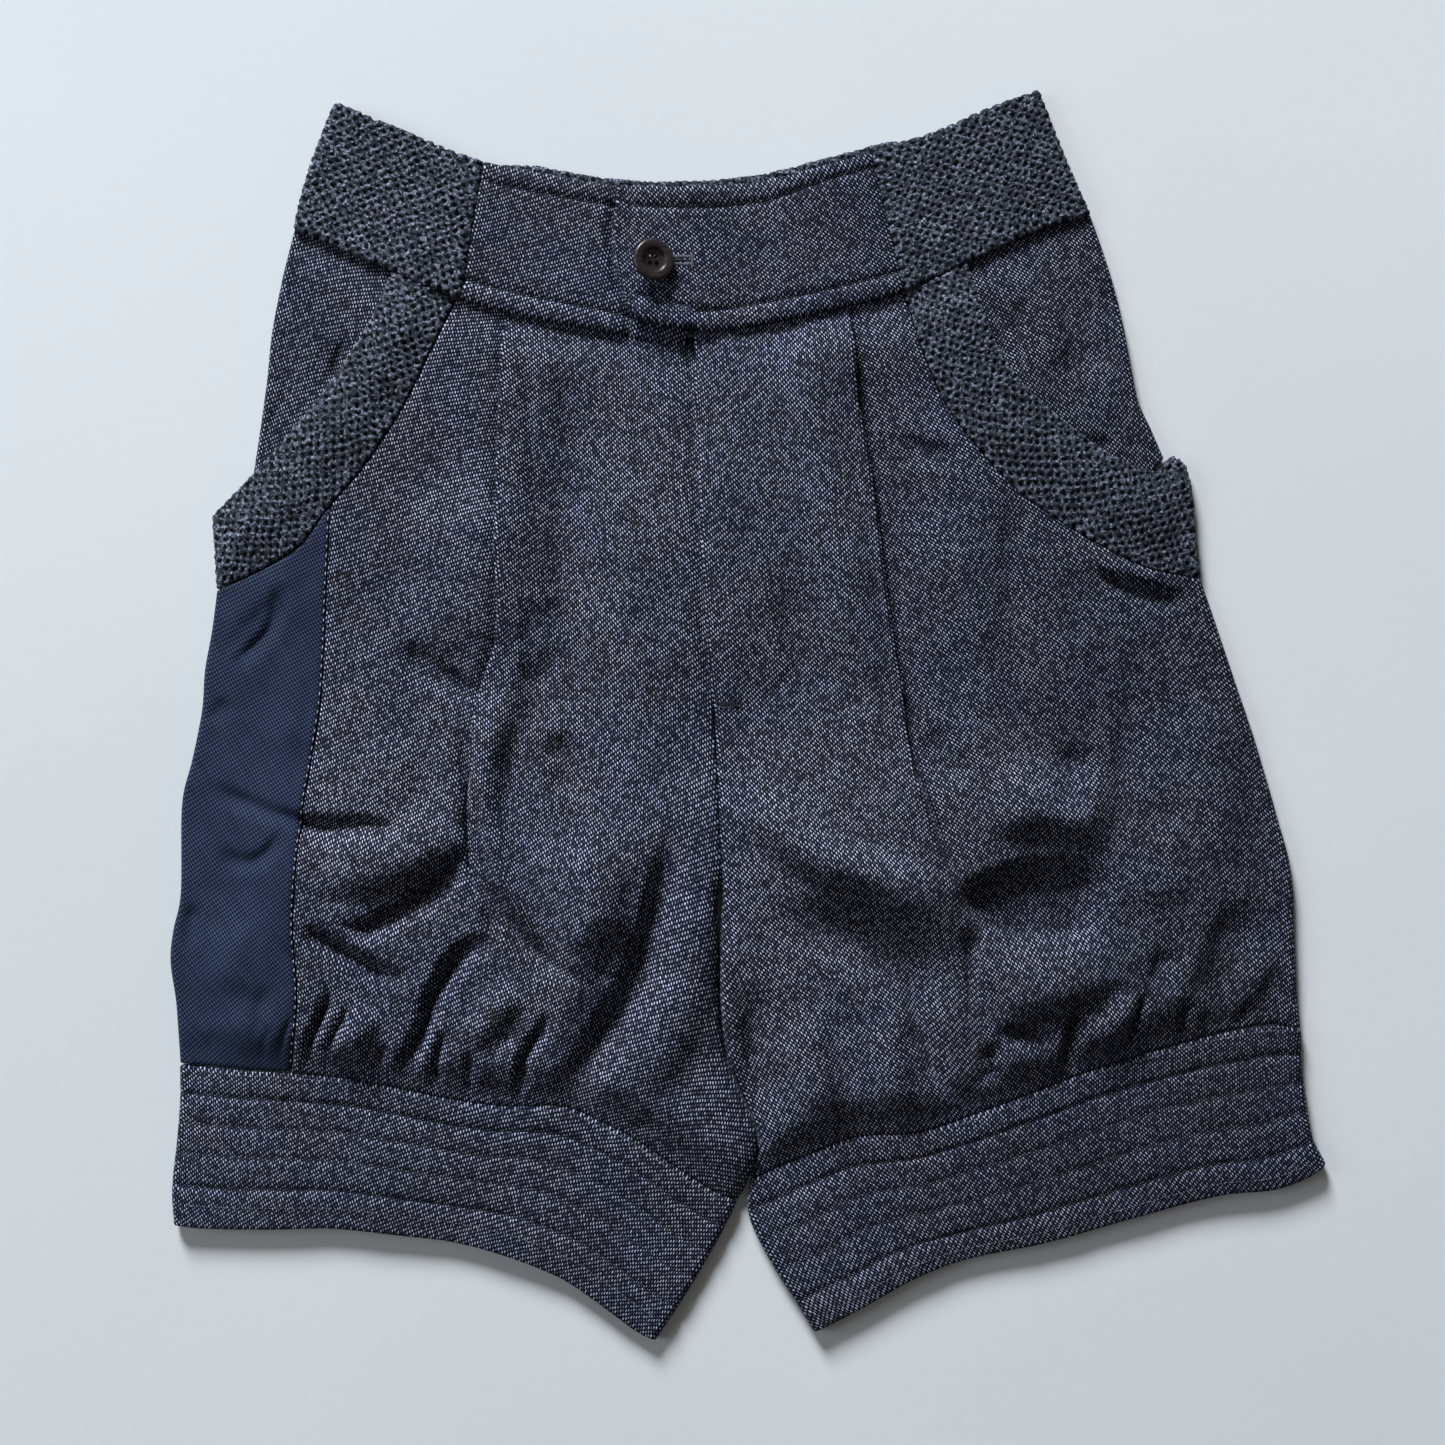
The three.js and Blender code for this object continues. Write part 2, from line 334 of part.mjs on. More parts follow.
/**
 * One cloth piece between its cut edges.
 * rise(x, y, fromOuter, fromInner) is its middle surface; fold says at which v each end goes round a side fold.
 */
function cloth({ edges, rows, columns, thick, rise, foldOuter, foldInner, pleat, seam = GAP, insetOuter = 0, insetInner = 0 }) {
  const place = spread(edges);
  const tall = (at(edges.outer, 0).distanceTo(last(edges.outer)) + at(edges.inner, 0).distanceTo(last(edges.inner))) / 2;
  const sections = [];
  for (let j = 0; j <= rows; j++) {
    const v = mix(seam / 2 / tall, 1 - seam / 2 / tall, j / rows);
    const a = place(0, v), b = place(1, v), long = a.distanceTo(b);
    const along = b.clone().sub(a).normalize();
    const point = (s, z) => { const p = place(s / long, v); return new THREE.Vector3(p.x, p.y, z); };
    const over = (s, extra = 0) => { const p = place(s / long, v); return new THREE.Vector3(p.x, p.y, rise(p.x, p.y, s, long - s, v) + extra); };
    const outerFold = foldOuter && foldOuter(v), innerFold = foldInner && foldInner(v);
    const points = [], tail = [];
    let from = insetOuter || seam / 2, to = long - (insetInner || seam / 2);
    if (foldOuter) {
      if (outerFold) {
        const f = roundFold(over(4).z, thick, Math.min(UNDER, long < 40 ? 6 : UNDER));
        f.forEach((q) => points.push(point(q.s, q.z)));
        from = f[f.length - 1].s + 2.2;
      } else {
        for (let k = 0; k < 6; k++) points.push(over(from + 0.7 * k));
        from += 6;
      }
    }
    if (foldInner) {
      const f = roundFold(over(long - 4).z, thick, UNDER);
      f.forEach((q) => tail.unshift(point(long - q.s, q.z)));
      to = long - f[f.length - 1].s - 2.2;
    }
    if (pleat) {
      let edge = 0, near = Infinity;
      for (let k = 0; k <= 160; k++) {
        const p = place(k / 160, v), d = Math.abs(p.x - xAt(pleat.line, p.y));
        if (d < near) [near, edge] = [d, (k / 160) * long];
      }
      const y = place(edge / long, v).y, deep = read(PLEAT_DEPTH, y, "deep"), step = PLEAT_STEP * read(PLEAT_DEPTH, y, "step");
      const end = edge + deep;
      for (let i = 0; i < pleat.before; i++) points.push(over(mix(from, end, i / pleat.before)));
      const base = over(end).z, base2 = over(edge).z;
      points.push(point(end, base), point(end, base + step - 0.25), point(edge, base2 + step + 0.25));
      for (let i = 0; i <= pleat.after; i++) {
        const s = mix(edge, to, i / pleat.after);
        points.push(over(s, 2 * step * (1 - soft((s - Math.max(edge, end) - 3) / 22))));
      }
    } else {
      for (let i = 0; i <= columns; i++) points.push(over(mix(from, to, i / columns)));
    }
    sections.push(wall(points.concat(tail), along, thick));
  }
  return solid(sections);
}

// ---------------------------------------------------------------- the pieces
const shorts = new THREE.Group();
const materials = {
  birdseye: { color: 0x2b2f3b, roughness: 0.92, metalness: 0 },
  navy: { color: 0x1c2436, roughness: 0.88, metalness: 0 },
  knit: { color: 0x272b35, roughness: 0.98, metalness: 0 },
  horn: { color: 0x231c1d, roughness: 0.35, metalness: 0 },
  thread: { color: 0x15151a, roughness: 0.9, metalness: 0 },
};
function add(name, material, geometry) {
  const mesh = new THREE.Mesh(geometry, new THREE.MeshStandardMaterial({ ...materials[material], name: material }));
  mesh.name = name;
  shorts.add(mesh);
}
const always = () => true;

// Fronts. The left one laps over at the fly, so it rises over the edge of the right one.
const frontRightOuter = join(back(rowsOf(weltSeamRight, CORNER, WELT_SEAM_RIGHT.length - 1)), selvedge);
add("front_right", "birdseye", cloth({
  edges: {
    outer: frontRightOuter,
    inner: centreRight,
    top: between(waistLow, frontRightOuter[0].x, centreRight[0].x),
    low: rowsOf(cuffSeamRight, 2, CUFF_SEAM_RIGHT.length - 1),
  },
  rows: 22, thick: WOOL, pleat: { line: line(PLEAT_RIGHT), before: 5, after: 11 }, seam: 0.5,
  rise: (x, y, fromOuter, fromInner) => innerLeg(height(x, y), fromInner, y),
}));
const frontLeftOuter = join(back(weltSeamLeft), sideLeft);
const sideShare = (() => { at(frontLeftOuter, 0); const l = frontLeftOuter.lengths; return l[weltSeamLeft.length - 1] / last(l); })();
const flyRise = (x, y) => FLY_STEP * (1 - soft((x - xAt(centreRight, y) - 2) / 14)) * soft((y + 26) / 22);
add("front_left", "birdseye", cloth({
  edges: {
    outer: frontLeftOuter,
    inner: centreLeft,
    top: between(waistLow, frontLeftOuter[0].x, centreLeft[0].x),
    low: cuffSeamLeft,
  },
  rows: 22, thick: WOOL, pleat: { line: line(PLEAT_LEFT), before: 6, after: 6 }, seam: 0.6, insetOuter: 0.7, foldOuter: (v) => v > sideShare,
  rise: (x, y, fromOuter, fromInner) => innerLeg(height(x, y) + flyRise(x, y), fromInner, y),
}));
add("side_panel_right", "navy", cloth({
  edges: { outer: sideRight, inner: selvedge, top: rowsOf(weltSeamRight, 0, CORNER), low: rowsOf(cuffSeamRight, 0, 2) },
  rows: 14, columns: 4, thick: WOOL, foldOuter: always, seam: 0.9, rise: height,
}));

// Hip yokes, which run on beneath the welts.
add("hip_yoke_right", "birdseye", cloth({
  edges: { outer: yokeSideRight, inner: yokeInnerRight, top: between(waistLow, yokeSideRight[0].x, yokeInnerRight[0].x), low: straight(last(yokeSideRight), last(yokeInnerRight)) },
  rows: 7, columns: 4, thick: WOOL, foldOuter: always, seam: 0.5, rise: height,
}));
add("hip_yoke_left", "birdseye", cloth({
  edges: { outer: yokeSideLeft, inner: yokeInnerLeft, top: between(waistLow, yokeSideLeft[0].x, yokeInnerLeft[0].x), low: straight(last(yokeSideLeft), last(yokeInnerLeft)) },
  rows: 8, columns: 4, thick: WOOL, foldOuter: always, seam: 0.5, rise: height,
}));
// Pocket welts: raised at the mouth over the yoke, down at the seam, round the side at the end.
const weltRise = (x, y, fromEnd, fromWaist, v) => Math.max(height(x, y), 3.1) + WELT_STEP * (1 - soft((v - 0.4) / 0.5)) * soft((fromEnd - 3) / 14);
add("pocket_welt_right", "knit", cloth({
  edges: { outer: weltEndRight, inner: between(waistLow, last(mouthRight).x, last(weltSeamRight).x), top: mouthRight, low: weltSeamRight },
  rows: 5, columns: 14, thick: WELT, foldOuter: always, seam: 1, rise: weltRise,
}));
add("pocket_welt_left", "knit", cloth({
  edges: { outer: weltEndLeft, inner: between(waistLow, last(mouthLeft).x, last(weltSeamLeft).x), top: mouthLeft, low: weltSeamLeft },
  rows: 5, columns: 14, thick: WELT, foldOuter: always, seam: 1, rise: weltRise,
}));

// Waistband.
const waistSection = (row) => straight(new THREE.Vector2(WAIST[row].topX, WAIST[row].topY), new THREE.Vector2(WAIST[row].lowX, WAIST[row].lowY));
const seamRight = waistSection(KNIT_SEAM_RIGHT), seamLeft = waistSection(KNIT_SEAM_LEFT);
const bandRise = () => BAND_HEIGHT;
add("waistband_side_right", "knit", cloth({
  edges: { outer: line(WAIST_END_RIGHT), inner: seamRight, top: between(waistTop, WAIST[0].topX, seamRight[0].x), low: between(waistLow, WAIST[0].lowX, seamRight[1].x) },
  rows: 3, columns: 4, thick: KNIT, foldOuter: always, rise: bandRise,
}));
add("waistband_side_left", "knit", cloth({
  edges: { outer: line(WAIST_END_LEFT), inner: seamLeft, top: between(waistTop, last(WAIST).topX, seamLeft[0].x), low: between(waistLow, last(WAIST).lowX, seamLeft[1].x) },
  rows: 3, columns: 4, thick: KNIT, foldOuter: always, rise: bandRise,
}));
add("waistband_front_right", "birdseye", cloth({
  edges: {
    outer: seamRight,
    inner: straight(new THREE.Vector2(UNDER_END.topX, yAt(waistTop, UNDER_END.topX)), new THREE.Vector2(UNDER_END.lowX, yAt(waistLow, UNDER_END.lowX))),
    top: between(waistTop, seamRight[0].x, UNDER_END.topX), low: between(waistLow, seamRight[1].x, UNDER_END.lowX),
  },
  rows: 3, columns: 8, thick: BAND, rise: bandRise,
}));
const tabEdge = line(TAB_EDGE);
const tabRise = (x) => BAND_HEIGHT + TAB_STEP * (1 - soft((x - UNDER_END.lowX - 3) / 22));
add("waistband_front_left", "birdseye", cloth({
  edges: {
    outer: tabEdge, inner: seamLeft,
    top: between(waistTop, tabEdge[0].x, seamLeft[0].x),
    low: join(line(TAB_CORNER), between(waistLow, last(TAB_CORNER).x, seamLeft[1].x)),
  },
  rows: 4, columns: 14, thick: BAND, rise: tabRise,
}));
const backTop = waistTop.map((p) => new THREE.Vector2(p.x, p.y + BACK_RISE * soft((p.x + 122) / 28) * soft((86 - p.x) / 30)));
add("waistband_back", "knit", cloth({
  edges: { outer: line(WAIST_END_RIGHT), inner: line(WAIST_END_LEFT), top: backTop, low: waistLow },
  rows: 2, columns: 24, thick: KNIT, rise: () => KNIT / 2, insetOuter: 12, insetInner: 12, seam: 0.8,
}));

// Backs: flat on the surface, between the side folds and the centre back and inner leg seams.
const flat = (thick) => () => thick / 2;
add("back_right", "birdseye", cloth({
  edges: { outer: outlineRight, inner: centreRight, top: between(waistLow, outlineRight[0].x, centreRight[0].x), low: cuffSeamRight },
  rows: 12, columns: 12, thick: WOOL, rise: flat(WOOL), insetOuter: 13, seam: 1.2,
}));
const centreBackLeft = join(rowsOf(centreRight, 0, CROTCH), rowsOf(centreLeft, CROTCH + 1, CENTRE_LEFT.length - 1));
add("back_left", "birdseye", cloth({
  edges: { outer: outlineLeft, inner: centreBackLeft, top: between(waistLow, outlineLeft[0].x, centreBackLeft[0].x), low: cuffSeamLeft },
  rows: 12, columns: 12, thick: WOOL, rise: flat(WOOL), insetOuter: 13, seam: 1.2,
}));

// Cuffs: the front goes round both sides and meets the back beneath.
const cuffRise = (x, y) => CUFF_HEIGHT + 0.5 * Math.max(folds(x, y), -1.5);
const cuffRight = { outer: cuffSideRight, inner: cuffInnerRight, top: cuffSeamRight, low: hemRight };
const cuffLeft = { outer: cuffSideLeft, inner: cuffInnerLeft, top: cuffSeamLeft, low: hemLeft };
for (const [side, edges] of [["right", cuffRight], ["left", cuffLeft]]) {
  add("cuff_front_" + side, "birdseye", cloth({ edges, rows: 3, columns: 15, thick: CUFF, foldOuter: always, foldInner: always, seam: 0.6, rise: cuffRise }));
  add("cuff_back_" + side, "birdseye", cloth({ edges, rows: 2, columns: 16, thick: CUFF, seam: 1.4, insetOuter: 14, insetInner: 13, rise: flat(CUFF) }));
}

// ---------------------------------------------------------------- button
const wasm = await Module();
wasm.setup();
function toSolid(geometry) {
  const bare = geometry.clone();
  bare.deleteAttribute("normal");
  bare.deleteAttribute("uv");
  const merged = mergeVertices(bare, 1e-4);
  return new wasm.Manifold(new wasm.Mesh({ numProp: 3, vertProperties: merged.attributes.position.array, triVerts: new Uint32Array(merged.index.array) }));
}
function toGeometry(made) {
  const mesh = made.getMesh();
  return new THREE.BufferGeometry().setAttribute("position", new THREE.BufferAttribute(mesh.vertProperties, 3)).setIndex(new THREE.BufferAttribute(mesh.triVerts, 1));
}
/** A round peg along Z, from its foot up. */
function peg(radius, long, x, y, z) {
  const g = new THREE.CylinderGeometry(radius, radius, long, 8);
  g.rotateX(Math.PI / 2).translate(x, y, z + long / 2);
  return toSolid(g);
}
const R = BUTTON.radius, T = BUTTON.thick;
const profile = [
  { r: 0, z: 0 }, { r: R - 2.2, z: 0 }, { r: R - 0.6, z: 0.7 }, { r: R, z: T * 0.5 }, { r: R - 0.5, z: T - 0.5 },
  { r: R - 1.3, z: T }, { r: R - 3.4, z: T - 0.2 }, { r: R - 4.3, z: T - BUTTON.rim }, { r: 0, z: T - BUTTON.rim - 0.2 },
].map((p) => new THREE.Vector2(p.r, p.z));
const disc = new THREE.LatheGeometry(profile, 26);
disc.rotateX(Math.PI / 2);
const holes = [[-1, -1], [-1, 1], [1, -1], [1, 1]].map(([i, j]) => [(i * BUTTON.spread) / 2, (j * BUTTON.spread) / 2]);
let button = toSolid(disc);
for (const [x, y] of holes) button = button.subtract(peg(BUTTON.hole / 1.6, 12, x, y, -4));
const seat = tabRise(BUTTON.x) + BAND / 2;
const tilt = new THREE.Matrix4().makeRotationAxis(new THREE.Vector3(-0.19, 0.98, 0).normalize(), THREE.MathUtils.degToRad(BUTTON.tilt));
const set = (g, z) => g.applyMatrix4(tilt).translate(BUTTON.x, BUTTON.y, z);
add("button", "horn", set(toGeometry(button), seat + BUTTON.lift));
// Thread: a short shank under the button, a strand through each hole, and a bar over each pair.
let thread = peg(1.6, 2.3, 0, 0, -2.65);
const inside = T - BUTTON.rim;
for (const [x, y] of holes) thread = thread.add(peg(0.36, inside + 1.1, x, y, -0.7));
for (const side of [-1, 1]) {
  const bar = new THREE.CylinderGeometry(0.36, 0.36, BUTTON.spread, 10);
  bar.rotateZ(0).translate((side * BUTTON.spread) / 2, 0, inside + 0.42);
  thread = thread.add(toSolid(bar));
}
add("button_thread", "thread", set(toGeometry(thread), seat + BUTTON.lift));

// The frame's origin is under the middle of the whole garment.
const box = new THREE.Box3().setFromObject(shorts);
const middle = box.getCenter(new THREE.Vector3());
shorts.position.set(-middle.x, -middle.y, 0);

export default shorts;
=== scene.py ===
# Wool shorts laid flat, front up, on a pale floor. The cloth is made in millimetres on the same cut edges as the CAD,
# with its folds, pleats, laps and stitching placed one by one, and written in metres.
import math

import bpy
import numpy as np
from mathutils import Matrix, Vector
from mathutils.bvhtree import BVHTree


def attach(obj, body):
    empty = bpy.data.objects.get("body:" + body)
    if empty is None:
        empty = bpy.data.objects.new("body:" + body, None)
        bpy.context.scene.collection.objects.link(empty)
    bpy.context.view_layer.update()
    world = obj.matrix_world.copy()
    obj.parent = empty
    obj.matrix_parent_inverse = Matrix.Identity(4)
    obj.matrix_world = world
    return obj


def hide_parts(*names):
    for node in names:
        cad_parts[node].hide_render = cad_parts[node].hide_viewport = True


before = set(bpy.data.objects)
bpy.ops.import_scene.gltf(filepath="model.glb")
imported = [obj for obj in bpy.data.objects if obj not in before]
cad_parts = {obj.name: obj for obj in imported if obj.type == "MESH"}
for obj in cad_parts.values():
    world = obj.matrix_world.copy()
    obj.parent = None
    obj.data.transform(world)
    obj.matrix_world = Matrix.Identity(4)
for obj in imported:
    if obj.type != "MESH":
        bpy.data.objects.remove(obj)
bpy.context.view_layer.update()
rng = np.random.default_rng(20)

# ------------------------------------------------------------------ sizes, mm
WOOL, BAND, KNIT, WELT, CUFF = 1.4, 2.3, 2.8, 2.3, 2.5
GAP = 0.3
UNDER = 11.0
REST_SIDE, REST_MIDDLE = 4.9, 6.4
BAND_HEIGHT, CUFF_HEIGHT, SEAM_HEIGHT = 6.2, 5.6, 3.0
FLY_STEP, WELT_STEP, TAB_STEP, PLEAT_STEP = 1.95, 2.75, 3.3, 2.2
BACK_RISE = 4.2
BUTTON = dict(x=-42.2, y=205.0, radius=9.5, thick=3.6)
SHIFT = np.array([-1.2993, 0.5026, 0.0])  # from the tables' frame to the row frame
PX = 2.2  # pixels of the photograph in a millimetre


def mm(x, y):
    """A place in the photograph's 1445 px frame, in the tables' millimetres."""
    return (x - 745.5) / PX, (714.0 - y) / PX


# ------------------------------------------------------------------ cut edges, mm
WAIST = [
    (-187.5, 279.1, -206.1, 220.9), (-157, 266.4, -169.8, 205.5), (-119.3, 251.8, -129.8, 189.1), (-91.1, 245.9, -95.7, 180),
    (-58.4, 240.5, -60.2, 174.5), (-24.3, 240, -23, 173.2), (6.6, 242.7, 15.7, 179.1), (33.9, 249.5, 45.2, 185.5),
    (57.5, 255.9, 72.5, 192.7), (88.4, 266.4, 104.3, 207.3), (111.1, 276.4, 131.6, 219.5), (133.9, 284.5, 157.5, 227.7),
]
WAIST_END_RIGHT = [(-187.5, 279.1), (-198, 251.8), (-203.9, 231.4), (-206.1, 220.9)]
WAIST_END_LEFT = [(133.9, 284.5), (143, 260.9), (153.5, 236.5), (157.5, 227.7)]
KNIT_SEAM_RIGHT, KNIT_SEAM_LEFT = 2, 8
UNDER_END = (-25.4, -26.4)
TAB_EDGE = [(-58.4, 240.5), (-59.8, 210.9), (-56.2, 193.8), (-52.2, 182.6)]
TAB_CORNER = [(-52.2, 182.6), (-43.3, 178.7), (-33.8, 175.9), (-23, 175.2)]
MOUTH_RIGHT = [(-243, 90.5), (-223, 110.9), (-207, 129.1), (-188.9, 151.8), (-170.7, 179.1), (-161.6, 202.1)]
MOUTH_LEFT = [(200.4, 113.2), (194.5, 118.3), (187.5, 111.6), (178.5, 112.4), (161.1, 121.5), (147.5, 131.5), (129.3, 147.3), (115.7, 165.5), (108.2, 183.6), (101.1, 205.9)]
WELT_SEAM_RIGHT = [(-241.1, 56.4), (-220.7, 65.5), (-202.5, 76.8), (-188.9, 95), (-175.2, 110.9), (-157, 138.2), (-143.4, 165.5), (-132, 190)]
WELT_SEAM_LEFT = [(208, 60.9), (183.9, 65.5), (161.1, 76.8), (129.3, 97.3), (106.6, 120), (90.7, 142.7), (79.3, 170), (72.5, 192.7)]
WELT_END_RIGHT = [(-243, 90.5), (-242, 74.5), (-241.1, 56.4)]
WELT_END_LEFT = [(200.4, 113.2), (203.4, 101.8), (205.7, 79.1), (208, 60.9)]
YOKE_SIDE_RIGHT = [(-206.1, 220.9), (-211.6, 197.3), (-216.1, 174.5), (-218.4, 151.8), (-221.6, 129.1), (-223.9, 113.5)]
YOKE_INNER_RIGHT = [(-155.2, 199.3), (-163.4, 176.8), (-174.3, 158.6), (-188, 139.1), (-202.5, 120.9), (-212.3, 108.5)]
YOKE_SIDE_LEFT = [(157.5, 227.7), (163.4, 210.9), (170.2, 188.2), (174.8, 165.5), (179.3, 142.7), (185.1, 130.1), (188.8, 121.5)]
YOKE_INNER_LEFT = [(95.2, 203), (102.5, 180), (110.2, 160.9), (123.9, 141.8), (143, 126.3), (158.9, 115.4), (175, 107.4)]
SELVEDGE = [(-188.9, 95), (-191.1, 51.8), (-193.4, 6.4), (-200.2, -39.1), (-203.9, -75.5), (-204.8, -98.2), (-203, -130), (-207, -163.6)]
SIDE_RIGHT = [
    (-241.1, 56.4), (-243.4, 38.2), (-246.6, 20), (-248, 1.8), (-252.5, -20.9), (-257, -39.1), (-258, -84.5), (-261.1, -98.2), (-262.5, -111.8),
    (-259.8, -132.3), (-258, -159.5),
]
SIDE_LEFT = [(208, 60.9), (213.4, 45), (224.8, 10.9), (233.9, -16.4), (243, -48.2), (248.9, -70.9), (250.7, -105), (252, -130), (253.4, -143.6)]
CENTRE_RIGHT = [
    (-13.4, 173.6), (-11.6, 133.6), (-9.8, 88.2), (-8.9, 51.8), (-10.7, 24.5), (-14.3, 3.6), (-13, -25.5), (-11.6, -55), (-10.7, -70.9),
    (-13, -84.5), (-12.5, -111.8), (-12.1, -134.5), (-8.9, -157.3), (0.7, -180), (5.2, -193.6), (0.6, -214.1), (-3.4, -221.8),
]
CENTRE_LEFT = [
    (-23.4, 173.2), (-23, 142.7), (-21.6, 113.2), (-20.2, 83.6), (-18.9, 56.4), (-17, 29.1), (-14.3, 3.6), (-13, -25.5), (-11.6, -55), (-10.7, -70.9),
    (-10.6, -84.5), (-11.3, -111.8), (-10.9, -134.5), (-7.7, -157.3), (2.0, -180), (6.5, -193.6), (4.4, -204.4), (2.6, -211.8),
]
CUFF_SEAM_RIGHT = [
    (-258, -159.5), (-225.2, -162.7), (-207, -163.6), (-179.8, -166.4), (-157, -170.9), (-134.3, -175.5), (-111.6, -178.6), (-81.6, -179.1),
    (-66.1, -185.5), (-52.5, -192.3), (-33, -205.5), (-16.1, -216.4), (-3.4, -221.8),
]
CUFF_SEAM_LEFT = [
    (253.4, -143.6), (242.5, -141.8), (218.9, -145), (191.1, -152.3), (163.4, -160.5), (129.8, -173.2), (107.5, -181.4), (79.8, -190.5),
    (49.8, -192.7), (35.2, -198.2), (17, -205.5), (2.6, -211.8),
]
HEM_RIGHT = [
    (-260.7, -233.2), (-248, -234.5), (-216.1, -235), (-188.9, -234.5), (-157, -237.7), (-134.3, -240.5), (-111.6, -246.4), (-84.3, -257.3),
    (-66.1, -269.5), (-48, -282.7), (-41.1, -285.9),
]
HEM_LEFT = [
    (264.8, -205), (260.7, -209.1), (242.5, -216.8), (218.9, -219.1), (177, -230), (135.7, -241.4), (100.7, -248.6), (79.8, -256.4),
    (52, -271.8), (31.6, -282.3),
]
CUFF_SIDE_RIGHT = [(-258, -159.5), (-258, -175.5), (-259.3, -193.6), (-261.6, -216.4), (-260.7, -233.2)]
CUFF_INNER_RIGHT = [(-3.4, -221.8), (-11.6, -238.2), (-25.2, -261.8), (-41.1, -285.9)]
CUFF_SIDE_LEFT = [(253.4, -143.6), (253.9, -161.8), (255.7, -175.5), (258.9, -193.6), (264.8, -205)]
CUFF_INNER_LEFT = [(2.6, -211.8), (1.1, -226.8), (11.1, -249.1), (24.8, -270.9), (31.6, -282.3)]
PLEAT_RIGHT = [
    (-109.3, 184), (-110.2, 142.7), (-111.6, 110.9), (-111.6, 70), (-111.6, 33.6), (-117.5, 15.5), (-123, -11.8), (-123, -39.1),
    (-118.4, -70.9), (-111.6, -89.1), (-107, -178),
]
PLEAT_LEFT = [
    (47.5, 188), (49.8, 142.7), (54.3, 120), (58.9, 88.2), (63.4, 51.8), (68.9, 15.5), (72.5, -11.8), (79.3, -39.1), (90.7, -80),
    (98.4, -94.5), (101, -180),
]
PLEAT_DEPTH = [(190, 13, 1), (40, 12, 1), (-10, 4, 1), (-35, -4, 1), (-70, -7, 0.65), (-104, -12, 0)]

